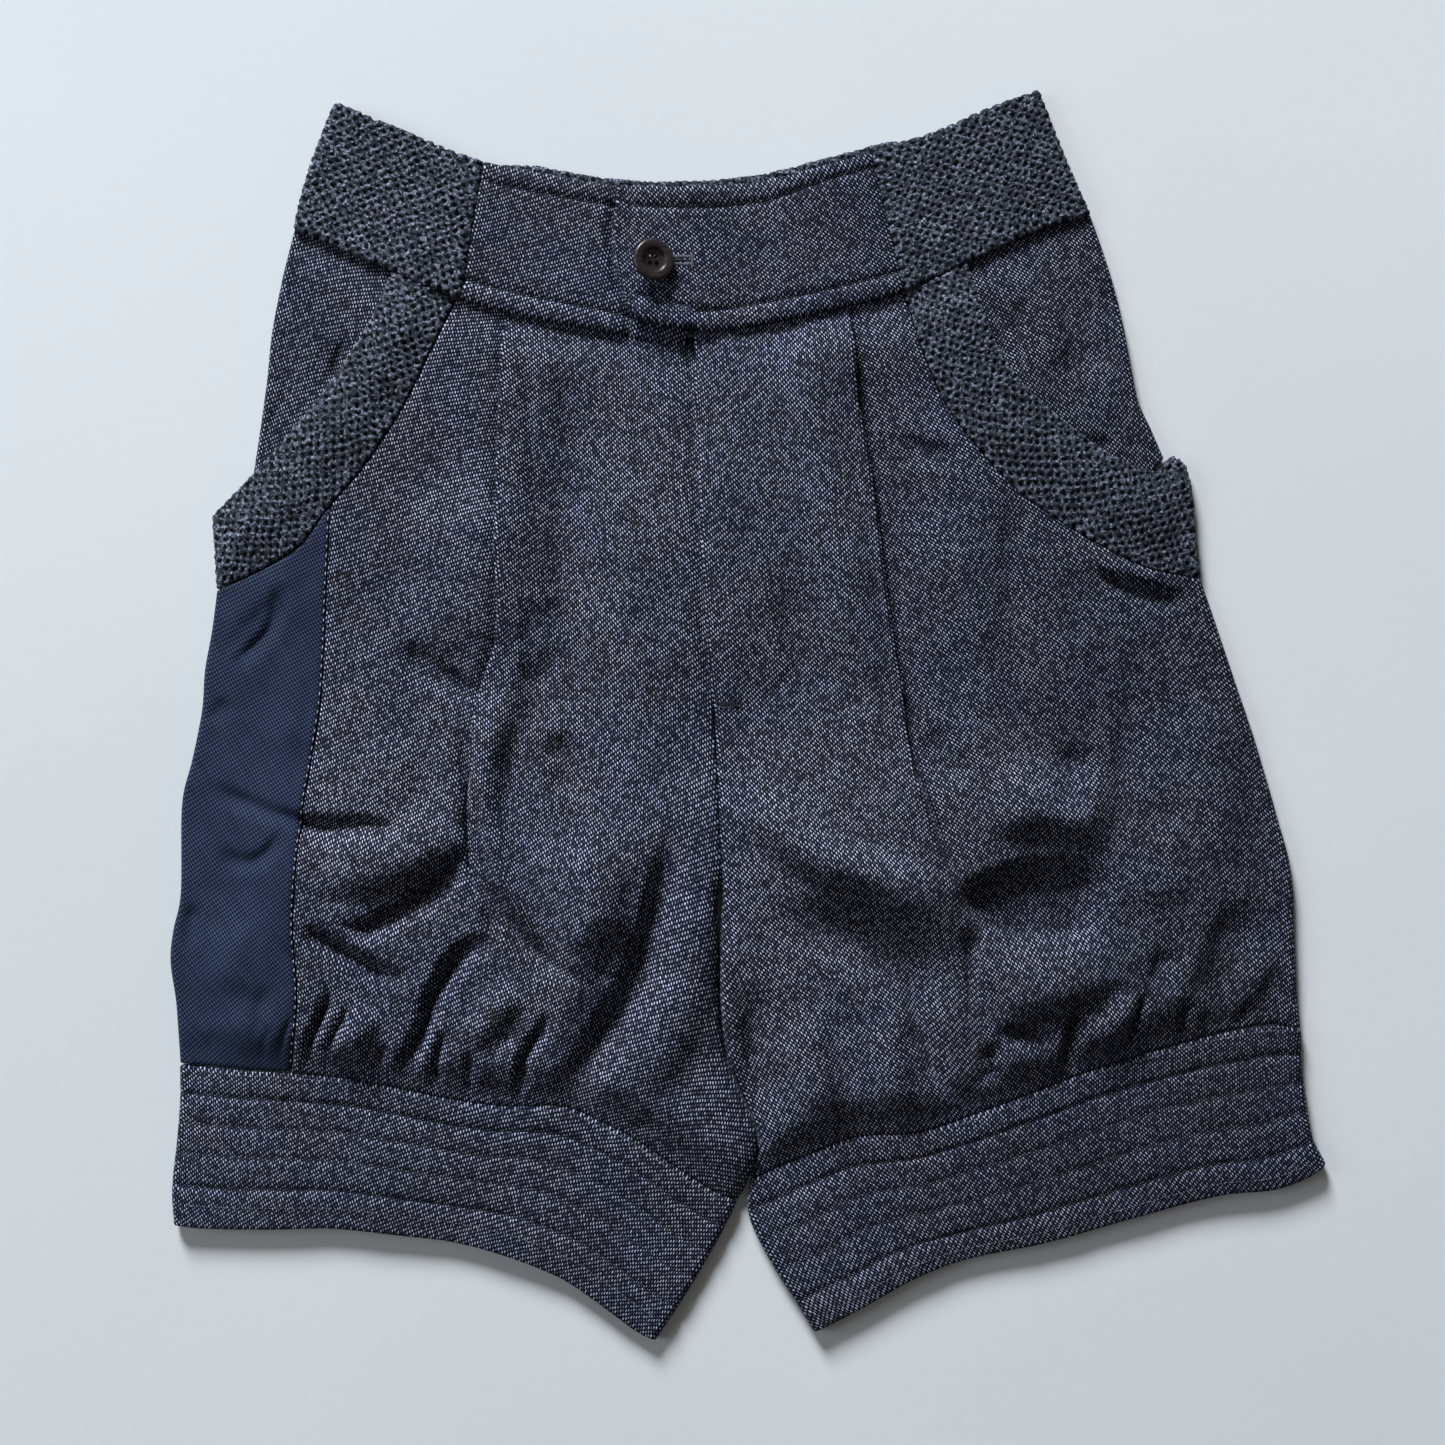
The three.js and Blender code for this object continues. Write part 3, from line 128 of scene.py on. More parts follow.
# Folds of the leg cloth, in the order that they are seen, from the waist down. Places are read off the photograph (1445 px
# frame). Each row: points, half width in px at each end, rise in mm (a trough is negative), lean (towards the left of its run).
FOLDS = [
    # right leg, above the pleat's end
    ([(462, 440), (468, 560), (462, 650)], 56, 60, 3.0, 0.0),
    ([(523, 330), (530, 430), (545, 560)], 16, 22, -1.5, 0.0),
    ([(528, 590), (532, 640), (520, 690)], 22, 22, -2.2, 0.0),
    ([(600, 380), (610, 520), (600, 700)], 60, 60, 1.2, 0.0),
    ([(396, 636), (430, 662), (476, 700)], 17, 18, -3.4, 0.0),
    ([(500, 672), (486, 740), (480, 820)], 24, 28, 2.2, 0.0),
    ([(345, 560), (350, 640), (335, 700)], 22, 26, -0.9, 0.0),
    ([(540, 722), (560, 752), (548, 790)], 28, 28, -2.2, 0.0),
    ([(398, 720), (392, 760), (386, 795)], 34, 34, 1.4, 0.0),
    # right leg, middle
    ([(296, 815), (345, 824), (410, 820)], 17, 20, -3.0, 0.0),
    ([(300, 862), (380, 850), (470, 806)], 34, 40, 3.6, 0.1),
    ([(336, 922), (372, 912), (420, 884), (474, 842)], 15, 20, -4.8, 0.2),
    ([(300, 926), (340, 940), (380, 962), (414, 972)], 13, 18, -4.0, 0.2),
    ([(462, 716), (464, 770), (474, 832), (486, 884), (510, 926), (548, 958), (594, 987)], 17, 17, -4.6, 0.1),
    ([(560, 800), (580, 880), (612, 940)], 46, 38, 4.4, 0.0),
    ([(494, 928), (456, 946), (434, 980), (420, 1020), (405, 1056), (396, 1090)], 16, 14, -4.6, 0.2),
    ([(524, 985), (492, 1010), (470, 1040)], 24, 18, 2.4, 0.0),
    ([(372, 992), (356, 1022), (345, 1060)], 30, 22, 3.0, 0.0),
    # right leg, the long trough to the cuff and the swells beside it
    ([(674, 800), (660, 862), (646, 920), (626, 966), (598, 1014), (570, 1054), (538, 1106)], 26, 30, -5.0, 0.1),
    ([(706, 840), (692, 920), (668, 1000), (630, 1066), (602, 1100)], 34, 46, 2.2, 0.0),
    ([(628, 790), (604, 870), (578, 950), (545, 1016), (512, 1066)], 36, 32, 1.8, 0.0),
    ([(655, 1116), (640, 1124), (626, 1128)], 15, 15, -1.6, 0.0),
    # right leg, gathers at the cuff
    ([(330, 980), (316, 1030), (302, 1074)], 9, 8, -3.2, 0.2),
    ([(352, 995), (338, 1028), (326, 1062)], 8, 7, -2.6, 0.2),
    ([(386, 1036), (380, 1062), (377, 1084)], 8, 7, -2.0, 0.0),
    ([(446, 1024), (436, 1062), (430, 1094)], 9, 8, -3.0, 0.2),
    ([(474, 1044), (467, 1072), (462, 1098)], 8, 7, -2.0, 0.0),
    ([(514, 1022), (492, 1062), (472, 1100)], 10, 8, -3.2, 0.2),
    ([(550, 1006), (522, 1060), (500, 1104)], 10, 8, -3.4, 0.2),
    ([(530, 1062), (520, 1082), (514, 1106)], 6, 6, -1.8, 0.2),
    ([(552, 350), (556, 520), (566, 700)], 50, 54, -2.2, 0.0),
    ([(640, 360), (650, 560), (640, 760)], 54, 60, 1.4, 0.0),
    # left leg, hip
    ([(722, 360), (728, 520), (736, 680)], 84, 90, 2.4, 0.0),
    ([(848, 320), (868, 480), (900, 640), (930, 760)], 62, 58, -3.2, 0.0),
    ([(862, 446), (905, 440), (962, 452)], 20, 20, -2.6, 0.0),
    ([(930, 480), (945, 560), (960, 650)], 60, 66, 2.2, 0.0),
    ([(846, 480), (852, 560), (872, 680)], 24, 22, 1.4, 0.0),
    ([(1004, 480), (1010, 560), (1000, 640)], 20, 26, -1.7, 0.0),
    ([(1075, 545), (1130, 572), (1190, 590)], 16, 14, 2.0, 0.0),
    ([(1098, 572), (1140, 592), (1190, 606)], 13, 13, -2.8, 0.0),
    ([(1118, 640), (1122, 720), (1110, 790)], 24, 26, -1.8, 0.0),
    ([(1060, 600), (1060, 660), (1050, 710)], 40, 44, 1.8, 0.0),
    ([(1190, 660), (1210, 760), (1230, 850)], 40, 44, 2.0, 0.0),
    ([(800, 420), (790, 540), (770, 660)], 50, 50, 1.0, 0.0),
    ([(740, 706), (768, 694), (790, 668), (802, 636)], 9, 9, -0.5, 0.0),
    ([(786, 560), (790, 640), (812, 700)], 22, 26, -1.4, 0.0),
    # left leg, middle
    ([(716, 768), (765, 804), (820, 840), (890, 874), (958, 914)], 30, 34, 4.4, 0.0),
    ([(772, 884), (830, 908), (890, 944), (950, 990)], 36, 42, -4.4, 0.0),
    ([(920, 716), (940, 748), (974, 766)], 26, 28, -2.6, 0.0),
    ([(1062, 730), (1064, 762), (1050, 800)], 24, 28, -2.0, 0.0),
    ([(966, 806), (1030, 792), (1112, 806)], 38, 44, 4.8, 0.0),
    ([(952, 908), (986, 882), (1040, 874), (1104, 888)], 44, 50, -7.6, 0.0),
    ([(958, 926), (1030, 918), (1108, 906)], 26, 26, -1.8, 0.0),
    ([(985, 990), (1040, 974), (1120, 950)], 34, 38, 3.8, 0.0),
    ([(960, 922), (968, 962), (972, 1012)], 12, 12, -2.2, 0.0),
    ([(1150, 800), (1160, 850), (1150, 900)], 34, 34, 1.6, 0.0),
    # left leg, above the cuff
    ([(900, 956), (924, 1046), (948, 1106)], 18, 14, -3.4, 0.0),
    ([(880, 1000), (890, 1054), (900, 1110)], 26, 24, 2.0, 0.0),
    ([(994, 1034), (1024, 1026), (1058, 1036)], 20, 21, -3.4, 0.0),
    ([(994, 1040), (988, 1064), (992, 1088)], 12, 10, -2.6, 0.0),
    ([(1082, 986), (1074, 1030), (1062, 1070), (1032, 1094)], 13, 11, -3.8, 0.0),
    ([(1122, 980), (1114, 1020), (1098, 1056)], 24, 20, 2.6, 0.0),
    ([(1140, 992), (1132, 1022), (1128, 1052)], 9, 7, -2.4, 0.0),
    ([(1188, 996), (1182, 1022), (1178, 1044)], 9, 7, -2.4, 0.0),
    ([(1248, 996), (1242, 1016), (1238, 1034)], 9, 7, -2.2, 0.0),
    ([(1160, 930), (1154, 960), (1150, 990)], 22, 22, -1.6, 0.0),
    ([(1232, 880), (1214, 944), (1194, 1004)], 34, 34, -2.2, 0.0),
    ([(1268, 930), (1250, 975), (1226, 1014)], 26, 22, 1.4, 0.0),
    ([(750, 966), (752, 1056), (760, 1120)], 25, 22, -2.8, 0.0),
    ([(806, 990), (810, 1050), (820, 1104)], 30, 30, 3.0, 0.0),
    ([(732, 930), (730, 990), (736, 1040)], 14, 14, 2.0, 0.0),
    ([(792, 1130), (814, 1140), (838, 1143)], 16, 15, -1.5, 0.0),
    # side panel
    ([(205, 640), (250, 600), (305, 556)], 20, 18, 1.8, 0.0),
    ([(276, 590), (268, 628), (226, 664)], 12, 13, -3.2, 0.2),
    ([(222, 690), (214, 706), (208, 720)], 18, 16, -1.8, 0.0),
    ([(290, 640), (288, 700), (282, 760)], 24, 24, 1.6, 0.0),
    ([(196, 780), (250, 800), (300, 820), (348, 826)], 15, 16, -2.8, 0.2),
    ([(208, 846), (250, 860), (290, 828)], 12, 14, -2.2, 0.0),
    ([(240, 905), (236, 950), (232, 990)], 28, 26, 2.0, 0.0),
    ([(192, 900), (190, 925), (194, 948)], 13, 13, -1.8, 0.0),
    ([(262, 980), (258, 1012), (268, 1040)], 14, 12, -1.8, 0.0),
    ([(292, 1012), (286, 1038), (278, 1066)], 6, 6, -2.0, 0.0),
    ([(274, 1022), (268, 1044), (262, 1064)], 5, 5, -1.4, 0.0),
    ([(214, 1030), (212, 1046), (212, 1060)], 7, 6, -1.2, 0.0),
    # hip yokes
    ([(344, 335), (330, 362), (314, 386)], 13, 12, -1.8, 0.2),
    ([(318, 318), (306, 356), (296, 390)], 15, 14, 1.2, 0.0),
    ([(282, 360), (276, 400), (270, 436)], 11, 10, -1.4, 0.0),
    ([(982, 286), (1000, 322), (1008, 372)], 10, 9, -1.8, 0.0),
    ([(1014, 290), (1018, 330), (1024, 372)], 9, 8, -1.5, 0.0),
    ([(1046, 280), (1052, 330), (1060, 370)], 18, 18, 1.5, 0.0),
    ([(1106, 280), (1108, 306), (1112, 330)], 11, 11, -1.4, 0.0),
    ([(1084, 432), (1098, 440), (1118, 444)], 12, 12, -1.6, 0.0),
    ([(1090, 350), (1104, 390), (1120, 420)], 22, 18, 1.0, 0.0),
]
# Soft creases in the backs: they lie on the floor, so every crease goes up, into the garment.
BACK_FOLDS = [
    ([(300, 420), (380, 560), (420, 700)], 20, 26, 1.0, 0.0), ([(520, 380), (500, 600), (540, 800)], 16, 20, 0.8, 0.0),
    ([(640, 720), (560, 830), (420, 900)], 18, 24, 1.2, 0.0), ([(660, 860), (620, 980), (520, 1080)], 16, 18, 1.2, 0.0),
    ([(240, 760), (330, 860), (360, 980)], 18, 20, 1.0, 0.0), ([(420, 960), (400, 1030), (380, 1080)], 12, 12, 1.1, 0.0),
    ([(300, 980), (306, 1030), (300, 1064)], 10, 9, 1.0, 0.0), ([(560, 1040), (548, 1070), (540, 1100)], 9, 8, 0.9, 0.0),
    ([(800, 400), (830, 560), (820, 700)], 18, 22, 0.8, 0.0), ([(980, 420), (1000, 600), (1040, 760)], 18, 26, 1.0, 0.0),
    ([(780, 740), (880, 840), (1040, 900)], 18, 26, 1.2, 0.0), ([(760, 900), (800, 1010), (860, 1110)], 16, 16, 1.2, 0.0),
    ([(1180, 700), (1120, 860), (1140, 980)], 20, 18, 1.0, 0.0), ([(1060, 980), (1040, 1040), (1030, 1080)], 12, 10, 1.1, 0.0),
    ([(1220, 940), (1206, 990), (1200, 1030)], 10, 9, 1.0, 0.0), ([(930, 1010), (936, 1070), (940, 1108)], 11, 9, 1.0, 0.0),
]

# Direction of the weave, from its repeat in the photograph: place (px), direction of the long repeat and of the short one.
WEAVE = {
    "front_right_outer": [
        (440, 360, -77, 18), (450, 440, -76, 17), (400, 480, -80, 20), (460, 560, -73, 24), (400, 640, -61, 30), (350, 700, -60, 26),
        (440, 720, -61, 32), (340, 860, -66, 25), (420, 860, -64, 28), (350, 960, -55, 40), (440, 1040, -62, 26), (340, 1040, -62, 30),
    ],
    "front_right_inner": [
        (540, 380, -49, 46), (620, 400, -55, 41), (660, 500, -56, 37), (540, 560, -42, 41), (620, 600, -52, 36), (560, 680, -48, 37),
        (660, 720, -54, 37), (690, 400, -52, 40), (695, 600, -54, 39), (690, 780, -58, 34), (560, 340, -50, 44), (540, 820, -55, 34), (600, 880, -55, 32), (580, 940, -56, 31), (480, 1000, -68, 17), (640, 1060, -76, 14),
        (700, 960, -84, 6), (690, 1120, -86, 12), (520, 1060, -66, 22),
    ],
    "front_left_inner": [
        (720, 620, -50, 39), (730, 860, -46, 46), (735, 960, -36, 54), (730, 400, -50, 38), (800, 380, -45, 43), (740, 520, -50, 39), (820, 520, -44, 39), (740, 640, -48, 41), (830, 660, -43, 45),
        (780, 740, -46, 42), (860, 780, -44, 46), (760, 860, -44, 50), (840, 900, -38, 52), (780, 1000, -25, 60), (880, 1000, -28, 54),
        (820, 1100, -29, 58), (900, 1080, -40, 50),
    ],
    "front_left_outer": [
        (890, 360, -35, 59), (920, 440, -30, 62), (920, 560, -38, 52), (1000, 560, -32, 53), (960, 680, -35, 55), (1060, 640, -37, 57),
        (1140, 640, -50, 48), (1020, 760, -34, 57), (1120, 760, -33, 54), (1200, 760, -45, 49), (1240, 860, -44, 50), (1180, 860, -42, 52),
        (1100, 960, -44, 48), (1200, 1000, -48, 45), (1270, 980, -56, 38), (1040, 1000, -25, 56),
    ],
    "cuff_right": [
        (210, 1110, -65, 31), (260, 1180, -60, 28), (320, 1130, -65, 27), (380, 1190, -65, 27), (440, 1150, -67, 27), (500, 1190, -65, 28),
        (560, 1170, -70, 18), (600, 1240, -76, 15), (650, 1210, -100, -4), (650, 1290, -95, -4), (690, 1230, -96, -6),
    ],
    "cuff_left": [
        (790, 1230, -18, 73), (830, 1280, -10, 68), (840, 1210, -37, 54), (900, 1190, -43, 50), (960, 1210, -44, 52), (1020, 1160, -45, 50),
        (1080, 1170, -42, 54), (1140, 1130, -45, 51), (1200, 1140, -47, 50), (1260, 1100, -47, 49), (1280, 1150, -43, 54),
    ],
    "band_right": [(520, 240, -74, 25), (570, 240, -69, 32), (590, 280, -71, 26), (500, 200, -73, 25), (620, 220, -68, 33)],
    "band_left": [(660, 200, -41, 52), (720, 220, -39, 54), (720, 290, -50, 51), (800, 240, -41, 57), (860, 220, -39, 57)],
    "yoke_right": [(310, 270, -71, 15), (300, 330, -72, 16), (360, 290, -84, 13), (290, 400, -68, 22)],
    "yoke_left": [(1030, 290, -36, 59), (1080, 290, -40, 56), (1090, 360, -38, 54), (1060, 340, -37, 55), (1120, 400, -39, 51)],
    "navy": [
        (250, 620, -60, 30), (290, 560, -60, 33), (240, 720, -63, 28), (280, 700, -65, 27), (220, 800, -61, 30), (260, 860, -60, 29),
        (220, 900, -53, 35), (260, 960, -48, 41), (220, 1020, -50, 38),
    ],
    "knit_side_right": [(350, 180, -68, 31), (400, 210, -69, 23)],
    "knit_side_left": [(960, 200, 74, -26), (1020, 160, 75, -26)],
    "knit_welt_right": [(420, 310, -70, 12), (380, 360, -72, 8), (320, 460, -77, 4), (250, 540, -90, -14)],
    "knit_welt_left": [(950, 350, 67, -12), (1030, 450, 88, 6), (1120, 500, 103, 18), (1190, 540, 108, 24)],
}
WEAVE["back_right"] = [(x, y, -62, 28) for x, y in [(300, 400), (600, 400), (300, 1000), (600, 1000), (450, 700)]]
WEAVE["back_left"] = [(x, y, -42, 48) for x, y in [(800, 400), (1100, 400), (800, 1000), (1200, 1000), (1000, 700)]]
WEAVE["knit_back"] = [(350, 170, -68, 31), (500, 240, -79, 20), (690, 260, -90, 0), (860, 230, -99, -14), (1020, 160, -105, -26)]


# ------------------------------------------------------------------ lines
STEPS = 8


def line(rows):
    """A centripetal Catmull-Rom line through the rows of a table, the same as the CAD's."""
    p = np.array(rows, float)
    p = np.vstack([2 * p[0] - p[1], p, 2 * p[-1] - p[-2]])
    out = []
    for i in range(1, len(p) - 2):
        p0, p1, p2, p3 = p[i - 1:i + 3]
        d0, d1, d2 = (max(((b - a) ** 2).sum(), 1e-9) ** 0.25 for a, b in ((p0, p1), (p1, p2), (p2, p3)))
        t1 = ((p1 - p0) / d0 - (p2 - p0) / (d0 + d1) + (p2 - p1) / d1) * d1
        t2 = ((p2 - p1) / d1 - (p3 - p1) / (d1 + d2) + (p3 - p2) / d2) * d1
        for k in range(STEPS):
            t = k / STEPS
            out.append(p1 + t1 * t + (-3 * p1 + 3 * p2 - 2 * t1 - t2) * t ** 2 + (2 * p1 - 2 * p2 + t1 + t2) * t ** 3)
    out.append(p[-2])
    return np.array(out)


def rows_of(points, start, end):
    return points[start * STEPS:end * STEPS + 1]


def join(*parts):
    return np.vstack([parts[0]] + [p[1:] for p in parts[1:]])


def straight(a, b):
    return np.array([a, b], float)


def at(points, share):
    """Points at shares of a line's length; share has any shape."""
    step = np.hypot(*np.diff(points, axis=0).T)
    run = np.concatenate([[0], np.cumsum(step)])
    want = np.clip(share, 0, 1) * run[-1]
    return np.stack([np.interp(want, run, points[:, 0]), np.interp(want, run, points[:, 1])], -1)


def y_at(points, x):
    order = points if points[0, 0] < points[-1, 0] else points[::-1]
    return np.interp(x, order[:, 0], order[:, 1])


def x_at(points, y):
    order = points if points[0, 1] < points[-1, 1] else points[::-1]
    return np.interp(y, order[:, 1], order[:, 0])


def between(points, x0, x1):
    low, high = min(x0, x1), max(x0, x1)
    inside = points[(points[:, 0] > low + 0.01) & (points[:, 0] < high - 0.01)]
    inside = inside[np.argsort(inside[:, 0])]
    run = np.vstack([[low, y_at(points, low)], inside, [high, y_at(points, high)]])
    return run if x0 < x1 else run[::-1]


def spread(outer, inner, top, low):
    """A point inside four cut edges: u from the outer edge to the inner one, v from the top edge to the low one."""
    c = outer[0], inner[0], outer[-1], inner[-1]

    def place(u, v):
        u, v = np.broadcast_arrays(np.asarray(u, float), np.asarray(v, float))
        a, b = u[..., None], v[..., None]
        p = at(top, u) * (1 - b) + at(low, u) * b + at(outer, v) * (1 - a) + at(inner, v) * a
        return p - c[0] * (1 - a) * (1 - b) - c[1] * a * (1 - b) - c[2] * (1 - a) * b - c[3] * a * b

    return place


def soft(t):
    c = np.clip(t, 0, 1)
    return c * c * (3 - 2 * c)


def mix(a, b, t):
    return a + (b - a) * t


def quarter(d, radius, depth):
    """How far a cloth edge turns down, d mm in from it."""
    t = np.clip(1 - d / radius, 0, 1)
    return -depth * (1 - np.sqrt(1 - t * t))


waist_top = line([(r[0], r[1]) for r in WAIST])
waist_low = line([(r[2], r[3]) for r in WAIST])


def on_waist(row):
    return (row[0], float(y_at(waist_low, row[0])))


mouth_right, mouth_left = line(MOUTH_RIGHT[:-1] + [on_waist(MOUTH_RIGHT[-1])]), line(MOUTH_LEFT[:-1] + [on_waist(MOUTH_LEFT[-1])])
welt_seam_right = line(WELT_SEAM_RIGHT[:-1] + [on_waist(WELT_SEAM_RIGHT[-1])])
welt_seam_left = line(WELT_SEAM_LEFT[:-1] + [on_waist(WELT_SEAM_LEFT[-1])])
welt_end_right, welt_end_left = line(WELT_END_RIGHT), line(WELT_END_LEFT)
yoke_side_right, yoke_side_left = line([on_waist(YOKE_SIDE_RIGHT[0])] + YOKE_SIDE_RIGHT[1:]), line([on_waist(YOKE_SIDE_LEFT[0])] + YOKE_SIDE_LEFT[1:])
yoke_inner_right, yoke_inner_left = line([on_waist(YOKE_INNER_RIGHT[0])] + YOKE_INNER_RIGHT[1:]), line([on_waist(YOKE_INNER_LEFT[0])] + YOKE_INNER_LEFT[1:])
selvedge, side_right, side_left = line(SELVEDGE), line(SIDE_RIGHT), line(SIDE_LEFT)
centre_right, centre_left = line([on_waist(CENTRE_RIGHT[0])] + CENTRE_RIGHT[1:]), line([on_waist(CENTRE_LEFT[0])] + CENTRE_LEFT[1:])
cuff_seam_right, cuff_seam_left = line(CUFF_SEAM_RIGHT), line(CUFF_SEAM_LEFT)
hem_right, hem_left = line(HEM_RIGHT), line(HEM_LEFT)
cuff_side_right, cuff_side_left = line(CUFF_SIDE_RIGHT), line(CUFF_SIDE_LEFT)
cuff_inner_right, cuff_inner_left = line(CUFF_INNER_RIGHT), line(CUFF_INNER_LEFT)
outline_right = join(yoke_side_right, straight(yoke_side_right[-1], welt_end_right[0]), welt_end_right, side_right)
outline_left = join(yoke_side_left, straight(yoke_side_left[-1], welt_end_left[0]), welt_end_left, side_left)
pleat_right, pleat_left = line(PLEAT_RIGHT), line(PLEAT_LEFT)
# Under the lap of the fly the waist seam of the right leg runs lower than that of the left.
under_low = waist_low.copy()
under_low[:, 1] -= 4.4 * soft((under_low[:, 0] + 78) / 46)
centre_front_right = centre_right.copy()
centre_front_right[0] = (centre_right[0][0], float(y_at(under_low, centre_right[0][0])))

# ------------------------------------------------------------------ noise and folds


def noise(x, y, size, seed):
    """Smooth noise from -1 to 1, size mm from swell to swell."""
    grid = np.random.default_rng(seed).uniform(-1, 1, (97, 97))
    gx, gy = x / size + 48.5, y / size + 48.5
    ix, iy = np.floor(gx).astype(int), np.floor(gy).astype(int)
    fx, fy = soft(gx - ix), soft(gy - iy)
    ix, iy = ix % 96, iy % 96
    return mix(mix(grid[iy, ix], grid[iy, ix + 1], fx), mix(grid[iy + 1, ix], grid[iy + 1, ix + 1], fx), fy)


def smooth_run(points):
    """Closer points on the smooth line through a fold's points, in mm."""
    return line([mm(*p) for p in points])[::2]


# FOLDS gives the places that look dark or light. The cloth is lowest or highest a little further from the light than that.
AWAY = np.array([0.36, -0.93])
FOLD_RUNS = [(smooth_run(p) + AWAY * (w0 + w1) / 2 / PX * (0.12 + 0.36 * min(max(((w0 + w1) / 2 - 10) / 14, 0), 1)), w0 / PX, w1 / PX, rise, lean)
             for p, w0, w1, rise, lean in FOLDS]
BACK_RUNS = [(smooth_run(p), w0 / PX, w1 / PX, rise, lean) for p, w0, w1, rise, lean in BACK_FOLDS]


def folds(x, y, runs=None, gain=1.5, grow=0.35):
    """What the folds add to the cloth's height at each place."""
    shape = x.shape
    x0, y0 = x.ravel(), y.ravel()
    # Folds aren't drawn with a ruler: their places wander a little.
    x = x0 + 2.2 * noise(x0, y0, 23, 3) + 0.8 * noise(x0, y0, 9, 4)
    y = y0 + 2.2 * noise(x0, y0, 23, 5) + 0.8 * noise(x0, y0, 9, 6)
    total = np.zeros_like(x)
    for run, w0, w1, rise, lean in FOLD_RUNS if runs is None else runs:
        wide = max(w0, w1) * 1.25
        low, high = run.min(0) - wide, run.max(0) + wide
        pick = np.nonzero((x > low[0]) & (x < high[0]) & (y > low[1]) & (y < high[1]))[0]
        if not len(pick):
            continue
        px, py = x[pick], y[pick]
        step = np.hypot(*np.diff(run, axis=0).T)
        length = step.sum()
        near = np.full(len(pick), np.inf)
        where, side = np.zeros(len(pick)), np.zeros(len(pick))
        done = 0.0
        for (ax, ay), (bx, by), long in zip(run[:-1], run[1:], step):
            t = np.clip(((px - ax) * (bx - ax) + (py - ay) * (by - ay)) / long ** 2, 0, 1)
            dx, dy = px - (ax + t * (bx - ax)), py - (ay + t * (by - ay))
            d = np.hypot(dx, dy)
            better = d < near
            near = np.where(better, d, near)
            where = np.where(better, (done + t * long) / length, where)
            # The steep side of a trough is the one nearer the light, top left; of a ridge, the other one.
            lit = -((by - ay) * -0.7071 + (bx - ax) * -0.7071) / long
            side = np.where(better, np.sign((bx - ax) * dy - (by - ay) * dx) * lit, side)
            done += long
        half = mix(w0, w1, where)
        half = half * (1 + 0.18 * soft((half - 10) / 10)) * (1 + (0.30 + lean) * np.sign(rise) * side)
        across = np.clip(near / half, 0, 1)
        ends = soft(np.minimum(where, 1 - where) / 0.36 + 0.06)
        total[pick] += rise * (1 - across ** 2) ** 2 * ends * (1 + grow * soft((20 - y0[pick]) / 50))
    return (gain * total).reshape(shape)


def height(x, y, from_low=None):
    """Middle surface of the front cloth, with no step of its own."""
    inward = np.minimum(x - x_at(outline_right, y), x_at(outline_left, y) - x)
    puff = 7.0 * soft((10 - y) / 90) * soft((inward - 4) / 46)
    # The twill of the side panel is softer, and its creases are shallower.
    calm = mix(0.42, 1.0, soft((x - x_at(selvedge, y)) / 6 + 0.5))
    full = mix(REST_SIDE, REST_MIDDLE, soft(inward / 55)) + puff + calm * folds(x, y)
    full = full + 0.8 * noise(x, y, 31, 10) + 0.5 * noise(x, y, 15, 11) + 0.22 * noise(x, y, 7, 12)
    below = mix(y_at(under_low, x), y_at(waist_low, x), soft((x + 25.2) / 3)) - y
    # Below the tab's corner the cloth stays down further.
    z = mix(SEAM_HEIGHT + 0.2, full, soft(below / (24 + 16 * np.exp(-(((x + 38) / 15) ** 2)))))
    if from_low is not None:
        z = mix(4.2 + 0.2 * (z - 6.4), z, soft((from_low + 0.5) / 23))
    floor = 2.75
    return floor + np.logaddexp(0, (z - floor) * 2.2) / 2.2


def inner_leg(z, d, y):
    """The inner leg rounds down to its seam with the back."""
    round_ = np.sqrt(np.clip(1 - (1 - np.clip(d / 10, 0, 1)) ** 2, 0, 1))
    down = 2.72
    return mix(z, down + (z - down) * round_, soft((-66 - y) / 18))


# ------------------------------------------------------------------ weave
LONG_REPEAT, SHORT_REPEAT, KNIT_REPEAT = 1.74, 1.25, 3.5


def weave(name):
    """The phase of both repeats at any place, from the directions in WEAVE: a smooth fit, so that the yarns bend as shown."""
    rows = np.array(WEAVE[name], float)
    cubic = len(rows) >= 12
    x, y = (rows[:, 0] - 745.5) / PX / 100, (714 - rows[:, 1]) / PX / 100
    mid = np.array([x.mean(), y.mean()])
    x, y = x - mid[0], y - mid[1]
    o, i = np.zeros_like(x), np.ones_like(x)
    dx = [i, o, 2 * x, y, o] + ([3 * x * x, 2 * x * y, y * y, o] if cubic else [])
    dy = [o, i, o, x, 2 * y] + ([o, x * x, 2 * x * y, 3 * y * y] if cubic else [])
    a = np.vstack([np.stack(dx, 1), np.stack(dy, 1)])
    keep = np.diag([0, 0] + [0.12] * (len(dx) - 2))
    pair = []
    for column, repeat in ((2, LONG_REPEAT), (3, SHORT_REPEAT)):
        if name.startswith("knit"):
            repeat = KNIT_REPEAT
        turn = np.radians(rows[:, column])
        want = np.concatenate([np.cos(turn), np.sin(turn)]) * 100 / repeat
        c = np.linalg.lstsq(np.vstack([a, keep]), np.concatenate([want, np.zeros(len(dx))]), rcond=None)[0]
        pair.append(c)

    def phases(px, py):
        u, v = px / 100 - mid[0], py / 100 - mid[1]
        m = [u, v, u * u, u * v, v * v] + ([u ** 3, u * u * v, u * v * v, v ** 3] if cubic else [])
        return np.stack([sum(k * t for k, t in zip(c, m)) for c in pair], -1)

    return phases


